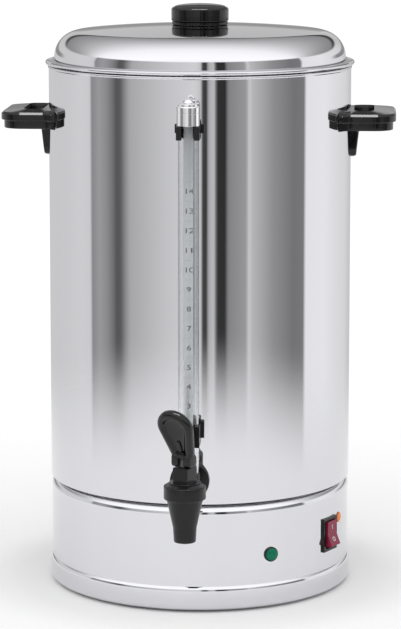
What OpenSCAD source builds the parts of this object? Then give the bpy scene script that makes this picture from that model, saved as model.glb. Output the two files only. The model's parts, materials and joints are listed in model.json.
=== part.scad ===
// Stainless steel coffee urn with a percolator inside, a lever tap and a sight gauge.
// Z is up, the tap faces -Y, and the origin is on the table under the middle of the tank.

/* [Tank] */
// Outer diameter of the tank
tank_d = 280; // [250:1:320]
// Thickness of the steel sheet
sheet_t = 1; // [0.8:0.1:1.2]
// Height of the tank's lower edge above the table
base_h = 100; // [94:1:125]
// Height of the tank from its lower edge to the top of its rim
tank_h = 384; // [360:1:440]
// Diameter of the bead along the rim
rim_bead_d = 3.4; // [2.8:0.1:4]
// How far the rim bead stands out of the tank wall
rim_proud = 0.8; // [0.4:0.1:1.2]
// Height of the tank floor above the tank's lower edge
floor_rise = 3; // [2:0.5:5]
// Diameter of the heating well in the floor
well_d = 76; // [70:1:90]
// Depth of the heating well
well_depth = 4; // [3:0.5:6]

/* [Base] */
// How far the skirt lies inside the tank's outer face
skirt_step = 0.5; // [0.2:0.1:0.8]
// Height of the rounded shoulder at the top of the skirt
skirt_shoulder_h = 7.5; // [5:0.5:10]
// Height of the plinth's top above the table
plinth_h = 24.3; // [20:0.1:30]
// How far the plinth stands out of the skirt
plinth_proud = 1.7; // [1.3:0.1:2.5]
// Height of the rounded shoulder at the top of the plinth
plinth_shoulder_h = 5.7; // [4:0.1:8]
// Radius of the plinth's lower edge
plinth_edge_r = 5; // [3:0.5:7]
// Width of the plinth's inward flange
plinth_flange_w = 33; // [30:1:40]
// Height of the rubber foot ring below the plinth
foot_h = 2; // [1.6:0.1:4]
// Width of the foot ring
foot_w = 20; // [14:1:22]
// Distance of the foot ring from the middle of the plinth's flange, inwards
foot_inset = 5; // [4:0.5:6]
// Number of barbs that hold the foot ring
foot_count = 4; // [3:1:6]

/* [Lid] */
// Gap between the lid's wall and the tank
lid_play = 4.2; // [2.5:0.1:4.6]
// Height of the lid's top above the rim
lid_h = 36.6; // [34:0.2:50]
// Depth of the lid's wall inside the tank
lid_skirt_h = 10; // [6:0.5:16]
// Radius of the lid's shoulder
lid_shoulder_r = 24; // [16:0.5:25]
// Slope of the lid's crown where it meets the shoulder, degrees
lid_crown_slope = 5.5; // [4:0.1:6]
// How far the lid's bead stands out of the tank
lid_proud = 3; // [2.5:0.1:5]
// Diameter of the bead round the lid
lid_bead_d = 4; // [3:0.1:5]
// Largest diameter of the knob
knob_d = 53; // [44:0.5:64]
// Height of the knob
knob_h = 18.6; // [16:0.2:26]
// Height of the knob's foot below its groove
knob_foot_h = 3.4; // [2.5:0.1:4.5]
// Thickness of the washer under the knob
knob_washer_t = 0.8; // [0.5:0.1:1.5]
// Diameter of the knob's screw
knob_screw_d = 5; // [4:0.5:6]

/* [Handles] */
// Depth of the handles' underside below the tank's rim
handle_drop = 57; // [50:0.5:80]
// Thickness of the handle
handle_t = 17.2; // [14:0.2:22]
// Height of the handle's narrower lower part
handle_low_h = 8.5; // [6:0.1:11]
// How far the handle's lower part lies inside its upper part
handle_step = 2.6; // [1:0.1:3.5]
// How far the handle reaches out from the tank
handle_reach = 41.5; // [41:0.5:54]
// Half of the loop's width
handle_loop_hw = 49; // [46:0.5:52]
// Half of the root's width on the tank
handle_root_hw = 54; // [52.5:0.5:60]
// Radius of the loop's outer corners
handle_corner_r = 22; // [12:0.5:24]
// Thickness of the handle between the tank and the finger gap
handle_back_t = 4.2; // [3.8:0.1:6]
// Width of the finger gap, outwards from the tank
finger_gap_w = 16; // [13:0.5:17]
// Half of the finger gap's length
finger_gap_hl = 29; // [24:0.5:31]
// Length of the tongue below the handle
tongue_l = 28; // [20:1:36]
// Half of the tongue's width at its root
tongue_root_hw = 27; // [22:0.5:30]
// Half of the tongue's width at its end
tongue_tip_hw = 8; // [6:0.5:12]
// Thickness of the tongue at its root
tongue_root_t = 8; // [6.4:0.1:8]
// Thickness of the tongue at its end
tongue_tip_t = 4.8; // [3:0.1:6]
// Diameter of the handle screws
handle_screw_d = 5; // [4:0.5:6]
// Angle of a handle screw from the handle's middle, degrees
handle_screw_a = 16; // [15.5:0.1:16.4]

/* [Tap] */
// Height of the tap's shank above the tank's lower edge
shank_rise = 22.7; // [21.5:0.1:36]
// Diameter of the tap's shank
shank_d = 18; // [16:0.5:20]
// Bore of the tap's shank
shank_bore = 10; // [8:0.5:11]
// Distance of the spout from the tank wall
tap_reach = 65; // [60:0.5:80]
// Diameter of the flange against the tank
flange_d = 35.3; // [30:0.1:38]
// Thickness of the flange
flange_t = 4.5; // [3:0.1:4.5]
// Thickness of the seals at the tank wall
tap_seal_t = 2.5; // [2:0.1:2.6]
// Diameter of the tap's collar
collar_d = 36.9; // [35:0.1:44]
// Height of the tap's collar
collar_h = 13.8; // [13:0.1:17]
// Height of the collar's top above the shank's axis
collar_rise = 12.3; // [12:0.1:14]
// Diameter of the spout's cone under the collar
cone_d = 32; // [31:0.1:34]
// Diameter of the spout where its cone ends
nozzle_top_d = 20.8; // [19.6:0.1:22]
// Diameter of the spout's mouth, outside
nozzle_d = 19.2; // [18:0.1:20]
// Length of the cone
cone_l = 25.3; // [23:0.1:30]
// Length of the straight nozzle under the cone
nozzle_l = 13; // [10:0.1:20]
// Bore of the spout
spout_bore = 14; // [12:0.1:14.5]
// Bore through the valve's seat
seat_bore = 11; // [9:0.1:11.5]
// Diameter of the valve chamber
chamber_d = 25; // [24:0.1:26]
// Height of the bonnet's square tower
tower_h = 13.2; // [12:0.1:16]
// Width of the tower along the lever's pin
tower_w = 15; // [14:0.1:17]
// Depth of the tower
tower_depth = 16; // [14:0.1:18]
// Turn of the bonnet and the lever to the left, degrees
lever_yaw = 28; // [0:1:45]
// Lean of the closed lever towards its front, degrees
lever_lean = 26; // [15:1:32]
// Length of the lever from its pin to its tip
lever_l = 52; // [46:0.5:60]
// Width of the lever's paddle
paddle_w = 34; // [28:0.5:36]
// Thickness of the paddle
paddle_t = 8; // [7:0.1:9]
// Radius of the lever's cam
cam_r = 6; // [5.5:0.1:7]
// Lift of the stem for each radian of lever travel
cam_throw = 5.1; // [3.5:0.1:5.5]
// Diameter of the lever's pin
pin_d = 3; // [2.6:0.1:3.6]
// Diameter of the valve stem
stem_d = 5; // [4.4:0.1:5.6]
// Diameter of the spring's wire
spring_wire_d = 1.2; // [0.9:0.05:1.5]
// Mean diameter of the spring
spring_d = 11; // [10.6:0.1:11.4]
// Number of turns in the spring
spring_turns = 6; // [4:1:7]

/* [Gauge] */
// Distance of the gauge's axis from the tank wall
gauge_off = 18; // [17.5:0.1:19]
// Outer diameter of the clear guard
guard_d = 18.4; // [17:0.1:18.6]
// Wall of the clear guard
guard_wall = 1.5; // [1:0.1:2]
// Outer diameter of the sight tube
sight_d = 8.4; // [7.6:0.1:9]
// Wall of the sight tube
sight_wall = 1.2; // [0.8:0.1:1.6]
// Width of the gauge's holders
holder_w = 20.4; // [20:0.1:24]
// Depth of the top holder's underside below the tank's rim
holder_drop = 53.5; // [48:0.5:70]
// Height of the top holder
holder_h = 11.8; // [10:0.1:14]
// Height of the lower clip's underside above the tap's shank
clip_rise = 35.3; // [30:0.1:70]
// Height of the lower clip
clip_h = 19; // [14:0.5:24]
// Width of the slot in a holder's front
holder_slot_w = 11; // [9:0.1:12]
// Diameter of the chrome cap
cap_d = 20.4; // [20:0.1:22]
// Height of the cap's straight wall
cap_h = 17.5; // [16:0.1:22]
// Height of the cap's nipple, with its tier
cap_crown_h = 7.4; // [5:0.1:10]

/* [Controls] */
// Angle of the ready lamp from the tap, degrees
ready_lamp_a = 31; // [26:0.5:40]
// Height of the ready lamp above the table
ready_lamp_z = 50.5; // [42:0.5:70]
// Diameter of the ready lamp's lens
ready_lamp_d = 11.5; // [9:0.1:14]
// Angle of the brewing lamp from the tap, degrees
brew_lamp_a = 70.3; // [70:0.1:80]
// Height of the brewing lamp above the table
brew_lamp_z = 68; // [50:0.5:74]
// Diameter of the brewing lamp's lens
brew_lamp_d = 7.5; // [6:0.1:9]
// Width of a lamp's rim
lamp_rim_w = 1; // [0.8:0.1:1.6]
// Angle of the switch from the tap, degrees
switch_a = 62.2; // [56:0.1:62.8]
// Height of the switch's middle above the table
switch_z = 56.6; // [50:0.1:64]
// Width of the switch's bezel
bezel_w = 24; // [24:0.1:25]
// Height of the switch's bezel
bezel_h = 31; // [31:0.1:34]
// Thickness of the switch's bezel
bezel_t = 1.6; // [1.4:0.1:4]
// Width of the rocker
rocker_w = 16; // [14:0.1:16]
// Half of the rocker's length
rocker_hl = 11.6; // [10:0.1:11.8]
// Tilt of the rocker to either side, degrees
rocker_tilt = 10; // [6:0.5:11]
// Height of the mains inlet's middle above the table
inlet_z = 50; // [44:0.5:66]
// Width of the inlet's flange
inlet_flange_w = 48; // [46:0.5:54]
// Height of the inlet's flange
inlet_flange_h = 25; // [24:0.5:30]
// Width of the inlet's mouth
inlet_mouth_w = 24; // [23:0.1:25]
// Height of the inlet's mouth
inlet_mouth_h = 16.4; // [16:0.1:18]
// Depth of the inlet's mouth
inlet_mouth_depth = 16; // [14:0.5:20]

/* [Percolator] */
// Outer diameter of the riser tube
riser_d = 12; // [10:0.5:13]
// Height of the riser's top above the rim
riser_top = 21; // [14:0.5:24]
// Diameter of the pump bell
bell_d = 62; // [50:1:64]
// Height of the pump bell
bell_h = 20; // [18:0.5:28]
// Diameter of the filter basket
basket_d = 160; // [120:1:200]
// Height of the filter basket
basket_h = 95; // [70:1:120]
// Depth of the basket's rim below the tank's rim
basket_drop = 37; // [30:1:50]
// Diameter of the basket's holes
basket_hole_d = 3; // [2.4:0.1:4]
// Distance between rings of holes
basket_hole_step = 12; // [10:1:16]

/* [Hidden] */
$fn = 96;

// Colours
STEEL = "gainsboro";
DARK_STEEL = "darkgray";
CHROME = "whitesmoke";
BLACK = "#1c1c1e";
RUBBER = "#2b2b2b";
SILICONE = "#d9cfc0";
CLEAR = "aliceblue";
ALLOY = "lightsteelblue";
BRASS = "goldenrod";

// Clearances
weld_gap = 0.05;
seat_gap = 0.1;
run_gap = 0.05;
part_gap = 0.3;
cut = 1;
past = 60;

// Tank and base
tank_r = tank_d / 2;
tank_ir = tank_r - sheet_t;
rim_z = base_h + tank_h;
rim_bead_r = tank_r + rim_proud - rim_bead_d / 2;
floor_z = base_h + floor_rise;
floor_top = floor_z + sheet_t;
floor_r = tank_ir - weld_gap;
floor_lip_r = floor_r - sheet_t;
well_r = well_d / 2;
well_z = floor_z - well_depth;
well_top = well_z + sheet_t;
neck_r = floor_lip_r - weld_gap;
skirt_r = tank_r - skirt_step;
skirt_ir = skirt_r - sheet_t;
skirt_z = foot_h + plinth_edge_r;
plate_z = foot_h + sheet_t;
plinth_r = skirt_r + plinth_proud;
plinth_lip_r = skirt_r + weld_gap;
plinth_lip_t = 2.4;
plinth_flange_r = plinth_r - plinth_flange_w;
plate_r = plinth_r - plinth_edge_r - part_gap;
plate_top = plate_z + sheet_t;
foot_r = plinth_flange_r + plinth_flange_w / 2 - foot_inset;
foot_stem_r = 3;
foot_barb_r = 4.4;
foot_barb_h = 2.4;
base_screw_r = foot_r;
base_screw_d = 4;
base_screw_l = 9;
base_screw_head_d = 7;
base_screw_head_h = 1.4;

// Heating
heat_plate_r = well_r - 2;
heat_plate_t = 6;
heat_plate_z = well_z - heat_plate_t;
element_d = 8;
element_r = heat_plate_r - element_d - 1;
element_z = heat_plate_z - weld_gap - element_d / 2;
element_arc = 320;
element_pin_d = 4;
element_pin_l = 18;
warm_element_d = 7;
warm_element_off = 42;
warm_element_r = well_r + warm_element_off;
warm_element_z = floor_z - weld_gap - warm_element_d / 2;
stud_d = 6;
clamp_t = 3;
clamp_w = 14;
clamp_top = element_z - element_d / 2 - weld_gap;
clamp_l = 2 * element_r + 2 * element_d;
nut_h = 5;
nut_d = 11.5;
stud_end_z = clamp_top - clamp_t - nut_h - 3;
sensor_off = 20;
sensor_r = well_r + sensor_off;
sensor_d = 18;
sensor_h = 9;
sensor_tab_w = 6;
sensor_tab_t = 0.8;
sensor_tab_l = 9;
block_w = 44;
block_depth = 18;
block_h = 16;
block_y = 62;

// Lid
lid_r = tank_ir - lid_play;
lid_z = rim_z - lid_skirt_h;
lid_top = rim_z + lid_h;
lid_crown_edge = lid_r - lid_shoulder_r * (1 - sin(lid_crown_slope));
lid_crown_r = lid_crown_edge / sin(lid_crown_slope);
lid_crown_rise = lid_crown_r * (1 - cos(lid_crown_slope));
lid_shoulder_z = lid_top - lid_crown_rise - lid_shoulder_r * cos(lid_crown_slope);
lid_gap = 0.2;
lid_bead_r = tank_r + lid_proud - lid_bead_d / 2;
lid_bead_z = rim_z + lid_gap + lid_bead_d / 2;
knob_z = lid_top + knob_washer_t;
knob_r = knob_d / 2;
knob_groove = 1.2;
knob_edge_r = 2.6;
knob_crown_h = 3.2;
knob_washer_d = 24;
knob_screw_l = 10;
knob_screw_head_d = 11;
knob_screw_head_h = 3;

// Handles
handle_z = rim_z - handle_drop;
handle_mid_z = handle_z + handle_t / 2;
handle_end_x = tank_r + handle_reach;
handle_root_x = sqrt(tank_r * tank_r - handle_root_hw * handle_root_hw) - 2;
handle_pad_x = handle_root_x + 0.7;
handle_pad_t = 6;
handle_pad_inset = 1.2;
finger_x = tank_r + handle_back_t;
finger_r = 5;
tongue_z = handle_z - tongue_l;
tongue_lap = 1;
handle_screw_l = 9;
handle_screw_head_d = 10;
handle_screw_head_h = 2.6;
handle_seal_d = 13;
handle_seal_t = 1.5;

// Tap
tap_y = -(tank_r + tap_reach);
shank_z = base_h + shank_rise;
shank_r = shank_d / 2;
shank_end_y = -(tank_ir - 16);
flange_y = -(tank_r + tap_seal_t + flange_t);
collar_top = shank_z + collar_rise;
collar_z = collar_top - collar_h;
collar_slope_w = 4;
collar_slope_h = 2.2;
cone_end_z = collar_z - cone_l;
spout_z = cone_end_z - nozzle_l;
seat_z = shank_z - shank_bore / 2 - 1.7;
seat_ring_h = 6;
chamber_r = chamber_d / 2;
plug_r = chamber_r - run_gap;
plug_z = shank_z + shank_bore / 2 + 1.3;
bonnet_flange_w = 1.5;
bonnet_flange_r = chamber_r + bonnet_flange_w;
bonnet_flange_t = 1.2;
tower_z = collar_top + bonnet_flange_t;
tower_top = tower_z + tower_h;
spring_room_r = spring_d / 2 + spring_wire_d / 2 + 0.6;
spring_room_h = 4.8;
spring_room_top = tower_z + spring_room_h;
stem_r = stem_d / 2;
pin_r = pin_d / 2;
pin_z = tower_top + part_gap + cam_r;
tongue_eye_r = 4.5;
tongue_eye_t = 5;
cheek_t = 7.4;
cheek_gap = 0.3;
cheek_in = max(tongue_eye_t / 2, stem_r) + cheek_gap;
lever_hw = cheek_in + cheek_t;
cheek_r = 5;
cheek_arm_w = paddle_t - 0.8;
cheek_arm_in = 2.4;
neck_hw = lever_hw + 0.6;
lever_neck = tongue_eye_r + 2;
paddle_r = paddle_w / 2;
paddle_mid = lever_l - paddle_r;
paddle_rim = 3.2;
paddle_dish = 2.2;
rib_w = 3.4;
rib_l = 12;
rib_h = 1.4;
hood_gap = 0.5;
hood_back = tongue_eye_r + hood_gap;
hood_t = 4;
hood_front = hood_back + hood_t;
hood_low = 2.3;
hood_h = 5;
pin_inset = 1.2;
seat_disc_r = seat_bore / 2 + 3.5;
seat_disc_t = 3.9;
seat_nose_r = seat_bore / 2 - 0.6;
seat_nose_h = 4;
stem_foot_z = seat_z + seat_gap + 2;
shoulder_z = seat_z + seat_gap + seat_disc_t;
shoulder_t = 2;
shoulder_r = spring_d / 2 + spring_wire_d / 2;
tap_nut_d = 30;
tap_nut_h = 7;
inner_seal_d = 26;

// Gauge
gauge_y = -(tank_r + gauge_off);
holder_z = rim_z - holder_drop;
clip_z = shank_z + clip_rise;
guard_r = guard_d / 2;
guard_ir = guard_r - guard_wall;
sight_r = sight_d / 2;
boss_r = guard_r + 1;
boss_top = shank_z + shank_r + 1.6;
guard_z = boss_top + weld_gap;
grommet_r = sight_r + 2.4;
grommet_h = 6;
cap_z = holder_z + holder_h;
cap_r = cap_d / 2;
cap_depth = 11;
guard_top = cap_z + cap_depth - part_gap;
sight_z = boss_top - grommet_h;
sight_top = guard_top + 2;
cap_edge_r = 1.3;
cap_tier_r = cap_r - 1.6;
cap_tier_h = 1.8;
cap_nipple_r = 4.6;
cap_groove = 0.5;
cap_groove_z = cap_z + cap_depth + cap_groove;
holder_back = sqrt(tank_r * tank_r - holder_w * holder_w / 4) - 1;
holder_front = -gauge_y + guard_r + 1;
holder_rise = 3.6;
holder_chamfer = 4;
holder_foot_lip = 2.8;
holder_foot_w = holder_w + 2 * holder_foot_lip;
holder_foot_t = 4;
holder_foot_back = sqrt(tank_r * tank_r - holder_foot_w * holder_foot_w / 4) - 1;
gauge_stud_d = 4;
gauge_stud_l = 5;
scale_w = 6;
scale_t = 0.5;
scale_y = gauge_y + sight_r + part_gap;
scale_end = 6;

// Lamps, switch and inlet
lamp_rim_t = 1.6;
lamp_dome = 0.2;
lamp_body_l = 16;
lamp_shaft = 2;
bezel_side_lip = 2.3;
bezel_end_lip = 1.3;
housing_side_wall = 1.4;
housing_end_wall = 1.1;
housing_w = bezel_w - 2 * bezel_side_lip;
housing_h = bezel_h - 2 * bezel_end_lip;
opening_w = housing_w - 2 * housing_side_wall;
opening_h = housing_h - 2 * housing_end_wall;
housing_depth = 22;
rocker_axis = 1.5;
rocker_mid = 4.6;
rocker_end = 6.6;
rocker_back = 5;
rocker_back_hl = 4;
rocker_edge = 1;
trunnion_r = 2;
trunnion_l = 1.1;
rocker_room = 9;
rocker_y = -(skirt_r - rocker_axis);
spade_w = 4.8;
spade_t = 0.8;
spade_l = 9;
spade_step = 8;
inlet_flange_t = 2.6;
inlet_wall = 2;
inlet_pin_w = 2;
inlet_pin_h = 4;
inlet_pin_step = 7;
inlet_pin_drop = 1.5;
inlet_pin_l = inlet_mouth_depth - 2;
inlet_tail_l = 9;
inlet_screw_d = 3;
inlet_screw_head_d = 5.6;
inlet_screw_head_h = 1.8;
inlet_screw_l = 8;
inlet_screw_x = inlet_flange_w / 2 - 5;

// Percolator
riser_r = riser_d / 2;
bell_r = bell_d / 2;
bell_z = well_top + part_gap;
bell_rim_h = 5;
bell_sleeve_h = 6;
bell_notch_w = 8;
bell_notch_h = 2.5;
riser_z = bell_z + bell_h - bell_sleeve_h;
basket_r = basket_d / 2;
basket_top = rim_z - basket_drop;
basket_z = basket_top - basket_h;
basket_sleeve_h = 24;
stop_r = riser_r + 4;
stop_h = 6;
cover_r = basket_r + 1.2;
cover_z = basket_top + part_gap;
cover_lip_h = 4;
cover_hole_first = 24;

// Points of an elliptic arc, from one angle to another
function arc(c, rx, ry, a0, a1, n = 8) =
    [for (i = [0 : n]) let (a = a0 + (a1 - a0) * i / n) [c[0] + rx * cos(a), c[1] + ry * sin(a)]];

// The same points in the opposite order
function reversed(p) = [for (i = [len(p) - 1 : -1 : 0]) p[i]];

module revolve(points) rotate_extrude() polygon(points);

module tube(r, ir, z0, z1) {
    translate([0, 0, z0])
        difference() {
            cylinder(r = r, h = z1 - z0);
            translate([0, 0, -cut]) cylinder(r = ir, h = z1 - z0 + 2 * cut);
        }
}

// A cylinder along Y, from y0 to y1
module bar_y(r, y0, y1) translate([0, y1, 0]) rotate([90, 0, 0]) cylinder(r = r, h = y1 - y0);

// A cylinder along X, centred
module bar_x(r, l) rotate([0, 90, 0]) cylinder(r = r, h = l, center = true);

// Children turned to face outwards at an angle from the tap
module facing(a, z) rotate([0, 0, a]) translate([0, 0, z]) children();

module tank_core(r) translate([0, 0, -cut]) cylinder(r = r, h = rim_z + lid_h, $fn = 256);

// Tank and base
module tank() {
    color(STEEL) difference() {
        union() {
            tube(tank_r, tank_ir, base_h, rim_z - rim_bead_d / 2);
            translate([0, 0, rim_z - rim_bead_d / 2])
                rotate_extrude() translate([rim_bead_r, 0]) circle(d = rim_bead_d);
        }
        translate([0, 0, shank_z]) bar_y(shank_r + seat_gap, -tank_r - past, -tank_ir + past);
        handle_screw_places()
            translate([tank_r, 0, 0]) bar_x(handle_screw_d / 2 + seat_gap, 2 * handle_screw_l);
    }
}

module tank_floor() {
    color(STEEL) revolve([
        [0, well_z], [well_r, well_z], [well_r, floor_z], [floor_lip_r, floor_z],
        [floor_lip_r, base_h], [floor_r, base_h], [floor_r, floor_top],
        [well_r - sheet_t, floor_top], [well_r - sheet_t, well_top], [0, well_top]
    ]);
}

module base_skirt() {
    z = base_h - skirt_shoulder_h;
    step = skirt_r - neck_r;
    outer = concat([[skirt_r, skirt_z]], arc([neck_r, z], step, skirt_shoulder_h, 0, 90),
        [[neck_r, floor_z]]);
    color(STEEL) difference() {
        revolve(concat(outer, [for (p = reversed(outer)) [p[0] - sheet_t, p[1]]]));
        facing(ready_lamp_a, ready_lamp_z)
            bar_y(ready_lamp_d / 2 - lamp_shaft + seat_gap, -skirt_r - past, -skirt_ir + past);
        facing(brew_lamp_a, brew_lamp_z)
            bar_y(brew_lamp_d / 2 - lamp_shaft + seat_gap, -skirt_r - past, -skirt_ir + past);
        facing(switch_a, switch_z) housing_box(housing_w + seat_gap, housing_h + seat_gap);
        facing(180, inlet_z) inlet_box(seat_gap);
        facing(180, inlet_z) inlet_screw_places()
            bar_y(inlet_screw_d / 2 + seat_gap, -skirt_r - past, -skirt_ir + past);
    }
}

module plinth() {
    z = plinth_h - plinth_shoulder_h;
    edge_x = plinth_r - plinth_edge_r;
    edge_z = foot_h + plinth_edge_r;
    inner_r = plinth_edge_r - sheet_t;
    color(STEEL) difference() {
        revolve(concat(
            [[plinth_flange_r, foot_h]], arc([edge_x, edge_z], plinth_edge_r, plinth_edge_r, -90, 0),
            arc([plinth_lip_r, z], plinth_r - plinth_lip_r, plinth_shoulder_h, 0, 90),
            [[plinth_lip_r, plinth_h - plinth_lip_t], [plinth_r - sheet_t, z]],
            arc([edge_x, edge_z], inner_r, inner_r, 0, -90),
            [[plinth_flange_r, foot_h + sheet_t]]
        ));
        foot_places() translate([0, 0, -cut]) cylinder(r = foot_stem_r + seat_gap, h = past);
        base_screw_places() translate([0, 0, -cut]) cylinder(d = base_screw_d + 2 * seat_gap, h = past);
    }
}

module base_plate() {
    color(DARK_STEEL) difference() {
        translate([0, 0, plate_z]) cylinder(r = plate_r, h = sheet_t);
        foot_places() cylinder(r = foot_stem_r + seat_gap, h = past);
        base_screw_places() cylinder(d = base_screw_d + 2 * seat_gap, h = past);
    }
}

module foot_places()
    for (i = [0 : foot_count - 1])
        rotate([0, 0, 360 * i / foot_count]) translate([foot_r, 0, 0]) children();

module base_screw_places()
    for (i = [0 : foot_count - 1])
        rotate([0, 0, 360 * (i + 0.5) / foot_count]) translate([base_screw_r, 0, 0]) children();

module foot_ring() {
    color(RUBBER) difference() {
        union() {
            tube(foot_r + foot_w / 2, foot_r - foot_w / 2, 0, foot_h);
            foot_places() {
                translate([0, 0, cut]) cylinder(r = foot_stem_r, h = plate_top + foot_barb_h - cut);
                translate([0, 0, plate_top]) cylinder(r1 = foot_barb_r, r2 = foot_stem_r, h = foot_barb_h);
            }
        }
        base_screw_places() translate([0, 0, -cut]) cylinder(d = base_screw_head_d + 2 * part_gap, h = past);
    }
}

module base_screws() {
    color(DARK_STEEL) base_screw_places() {
        translate([0, 0, foot_h - base_screw_head_h])
            cylinder(d = base_screw_head_d, h = base_screw_head_h);
        translate([0, 0, foot_h - cut / 2]) cylinder(d = base_screw_d, h = base_screw_l);
    }
}

// Heating
module heat_plate() {
    color(ALLOY) translate([0, 0, heat_plate_z]) difference() {
        cylinder(r = heat_plate_r, h = heat_plate_t);
        translate([0, 0, -cut]) cylinder(d = stud_d + 2 * seat_gap, h = heat_plate_t + 2 * cut);
    }
}

// A sheathed element: most of a ring, with a cold pin down at each end
module element(r, d, z) {
    start = (360 - element_arc) / 2;
    pin_a = start + asin(element_pin_d / r);
    translate([0, 0, z]) {
        rotate([0, 0, start]) rotate_extrude(angle = element_arc) translate([r, 0]) circle(d = d);
        for (a = [pin_a, -pin_a])
            rotate([0, 0, a]) translate([r, 0, -element_pin_l])
                cylinder(d = element_pin_d, h = element_pin_l);
    }
}

module main_heater() { color("#7a6a5a") element(element_r, element_d, element_z); }

module keep_warm_heater() { color("#8a7a6a") element(warm_element_r, warm_element_d, warm_element_z); }

module heater_stud() {
    color(STEEL) translate([0, 0, stud_end_z]) cylinder(d = stud_d, h = well_z - stud_end_z);
}

module heater_clamp() {
    color(STEEL) difference() {
        translate([-clamp_w / 2, -clamp_l / 2, clamp_top - clamp_t]) cube([clamp_w, clamp_l, clamp_t]);
        cylinder(d = stud_d + 2 * seat_gap, h = rim_z);
    }
}

module clamp_nut() {
    color(BRASS) translate([0, 0, clamp_top - clamp_t - nut_h]) difference() {
        cylinder(d = nut_d, h = nut_h, $fn = 6);
        translate([0, 0, -cut]) cylinder(d = stud_d + 2 * weld_gap, h = nut_h + 2 * cut);
    }
}

// A disc sensor against the tank floor, with two terminal tabs
module sensor() {
    translate([sensor_r, 0, floor_z - sensor_h]) {
        cylinder(d = sensor_d, h = sensor_h);
        for (s = [-1, 1])
            translate([-sensor_tab_w / 2, s * sensor_d / 4 - sensor_tab_t / 2, -sensor_tab_l])
                cube([sensor_tab_w, sensor_tab_t, sensor_tab_l + cut]);
    }
}

module thermostat() { color(ALLOY) rotate([0, 0, 90]) sensor(); }

module thermal_cutout() { color("ivory") rotate([0, 0, -90]) sensor(); }

module terminal_block() {
    color("ivory") translate([-block_w / 2, block_y - block_depth / 2, plate_top])
        cube([block_w, block_depth, block_h]);
}

// Mains inlet at the back
module inlet_box(gap) {
    w = inlet_mouth_w + 2 * inlet_wall + 2 * gap;
    h = inlet_mouth_h + 2 * inlet_wall + 2 * gap;
    y0 = skirt_ir - inlet_mouth_depth - inlet_wall;
    translate([-w / 2, -skirt_r - inlet_flange_t, -h / 2]) cube([w, skirt_r + inlet_flange_t - y0, h]);
}

module inlet_screw_places()
    for (s = [-1, 1])
        translate([s * inlet_screw_x, 0, 0]) children();

module mains_inlet() {
    front = -skirt_r - inlet_flange_t;
    color(BLACK) facing(180, inlet_z) difference() {
        union() {
            difference() {
                translate([-inlet_flange_w / 2, front, -inlet_flange_h / 2])
                    cube([inlet_flange_w, inlet_flange_t + past / 4, inlet_flange_h]);
                translate([0, 0, -inlet_z]) tank_core(skirt_r + weld_gap);
            }
            inlet_box(0);
        }
        translate([-inlet_mouth_w / 2, front - cut, -inlet_mouth_h / 2])
            cube([inlet_mouth_w, inlet_mouth_depth + cut, inlet_mouth_h]);
        inlet_pin_places()
            translate([-inlet_pin_w / 2, front, -inlet_pin_h / 2])
                cube([inlet_pin_w, inlet_mouth_depth + past, inlet_pin_h]);
        inlet_screw_places() bar_y(inlet_screw_d / 2 + seat_gap, front - cut, -skirt_r + past / 2);
    }
}

module inlet_pin_places()
    for (i = [-1 : 1])
        translate([i * inlet_pin_step, 0, -inlet_pin_drop]) children();

module inlet_pins() {
    front = -skirt_r - inlet_flange_t + inlet_mouth_depth - inlet_pin_l;
    color(BRASS) facing(180, inlet_z) inlet_pin_places()
        translate([-inlet_pin_w / 2, front, -inlet_pin_h / 2])
            cube([inlet_pin_w, inlet_pin_l + inlet_wall + inlet_tail_l, inlet_pin_h]);
}

module inlet_screws() {
    front = -skirt_r - inlet_flange_t;
    color(STEEL) facing(180, inlet_z) inlet_screw_places() {
        bar_y(inlet_screw_head_d / 2, front - inlet_screw_head_h, front);
        bar_y(inlet_screw_d / 2, front - inlet_screw_head_h / 2, front + inlet_screw_l);
    }
}

// Rocker switch
module housing_box(w, h) {
    y0 = skirt_ir - housing_depth;
    translate([-w / 2, -skirt_r - bezel_t / 2, -h / 2]) cube([w, skirt_r + bezel_t / 2 - y0, h]);
}

module switch_housing() {
    front = -skirt_r - bezel_t;
    color(BLACK) facing(switch_a, switch_z) difference() {
        union() {
            difference() {
                translate([-bezel_w / 2, front, -bezel_h / 2])
                    cube([bezel_w, 2 * bezel_t, bezel_h]);
                translate([0, 0, -switch_z]) tank_core(skirt_r + weld_gap);
            }
            housing_box(housing_w, housing_h);
        }
        translate([-opening_w / 2, front - cut, -opening_h / 2])
            cube([opening_w, cut - front + rocker_y + rocker_room, opening_h]);
        translate([0, rocker_y, 0]) bar_x(trunnion_r + run_gap, opening_w + 2 * trunnion_l + 2 * seat_gap);
        spade_places()
            translate([-spade_w / 2, -skirt_r, -spade_t / 2]) cube([spade_w, skirt_r, spade_t]);
    }
}

module switch_rocker() {
    profile = [
        [-rocker_hl, rocker_end], [-rocker_hl + rocker_edge, rocker_end + rocker_edge / 2],
        [0, rocker_mid],
        [rocker_hl - rocker_edge, rocker_end + rocker_edge / 2], [rocker_hl, rocker_end],
        [rocker_hl, rocker_edge], [rocker_back_hl, -rocker_back],
        [-rocker_back_hl, -rocker_back], [-rocker_hl, rocker_edge]
    ];
    color("crimson") facing(switch_a, switch_z) translate([0, rocker_y, 0]) rotate([-rocker_tilt, 0, 0]) {
        translate([-rocker_w / 2, 0, 0]) rotate([90, 0, 90])
            linear_extrude(rocker_w) polygon([for (p = profile) [-p[1], p[0]]]);
        bar_x(trunnion_r, opening_w + 2 * trunnion_l);
    }
}

module spade_places()
    for (i = [-1 : 1])
        translate([0, 0, i * spade_step]) children();

module switch_terminals() {
    y0 = -skirt_ir + housing_depth;
    color(BRASS) facing(switch_a, switch_z) spade_places()
        translate([-spade_w / 2, y0 - spade_l, -spade_t / 2]) cube([spade_w, 2 * spade_l, spade_t]);
}

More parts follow.
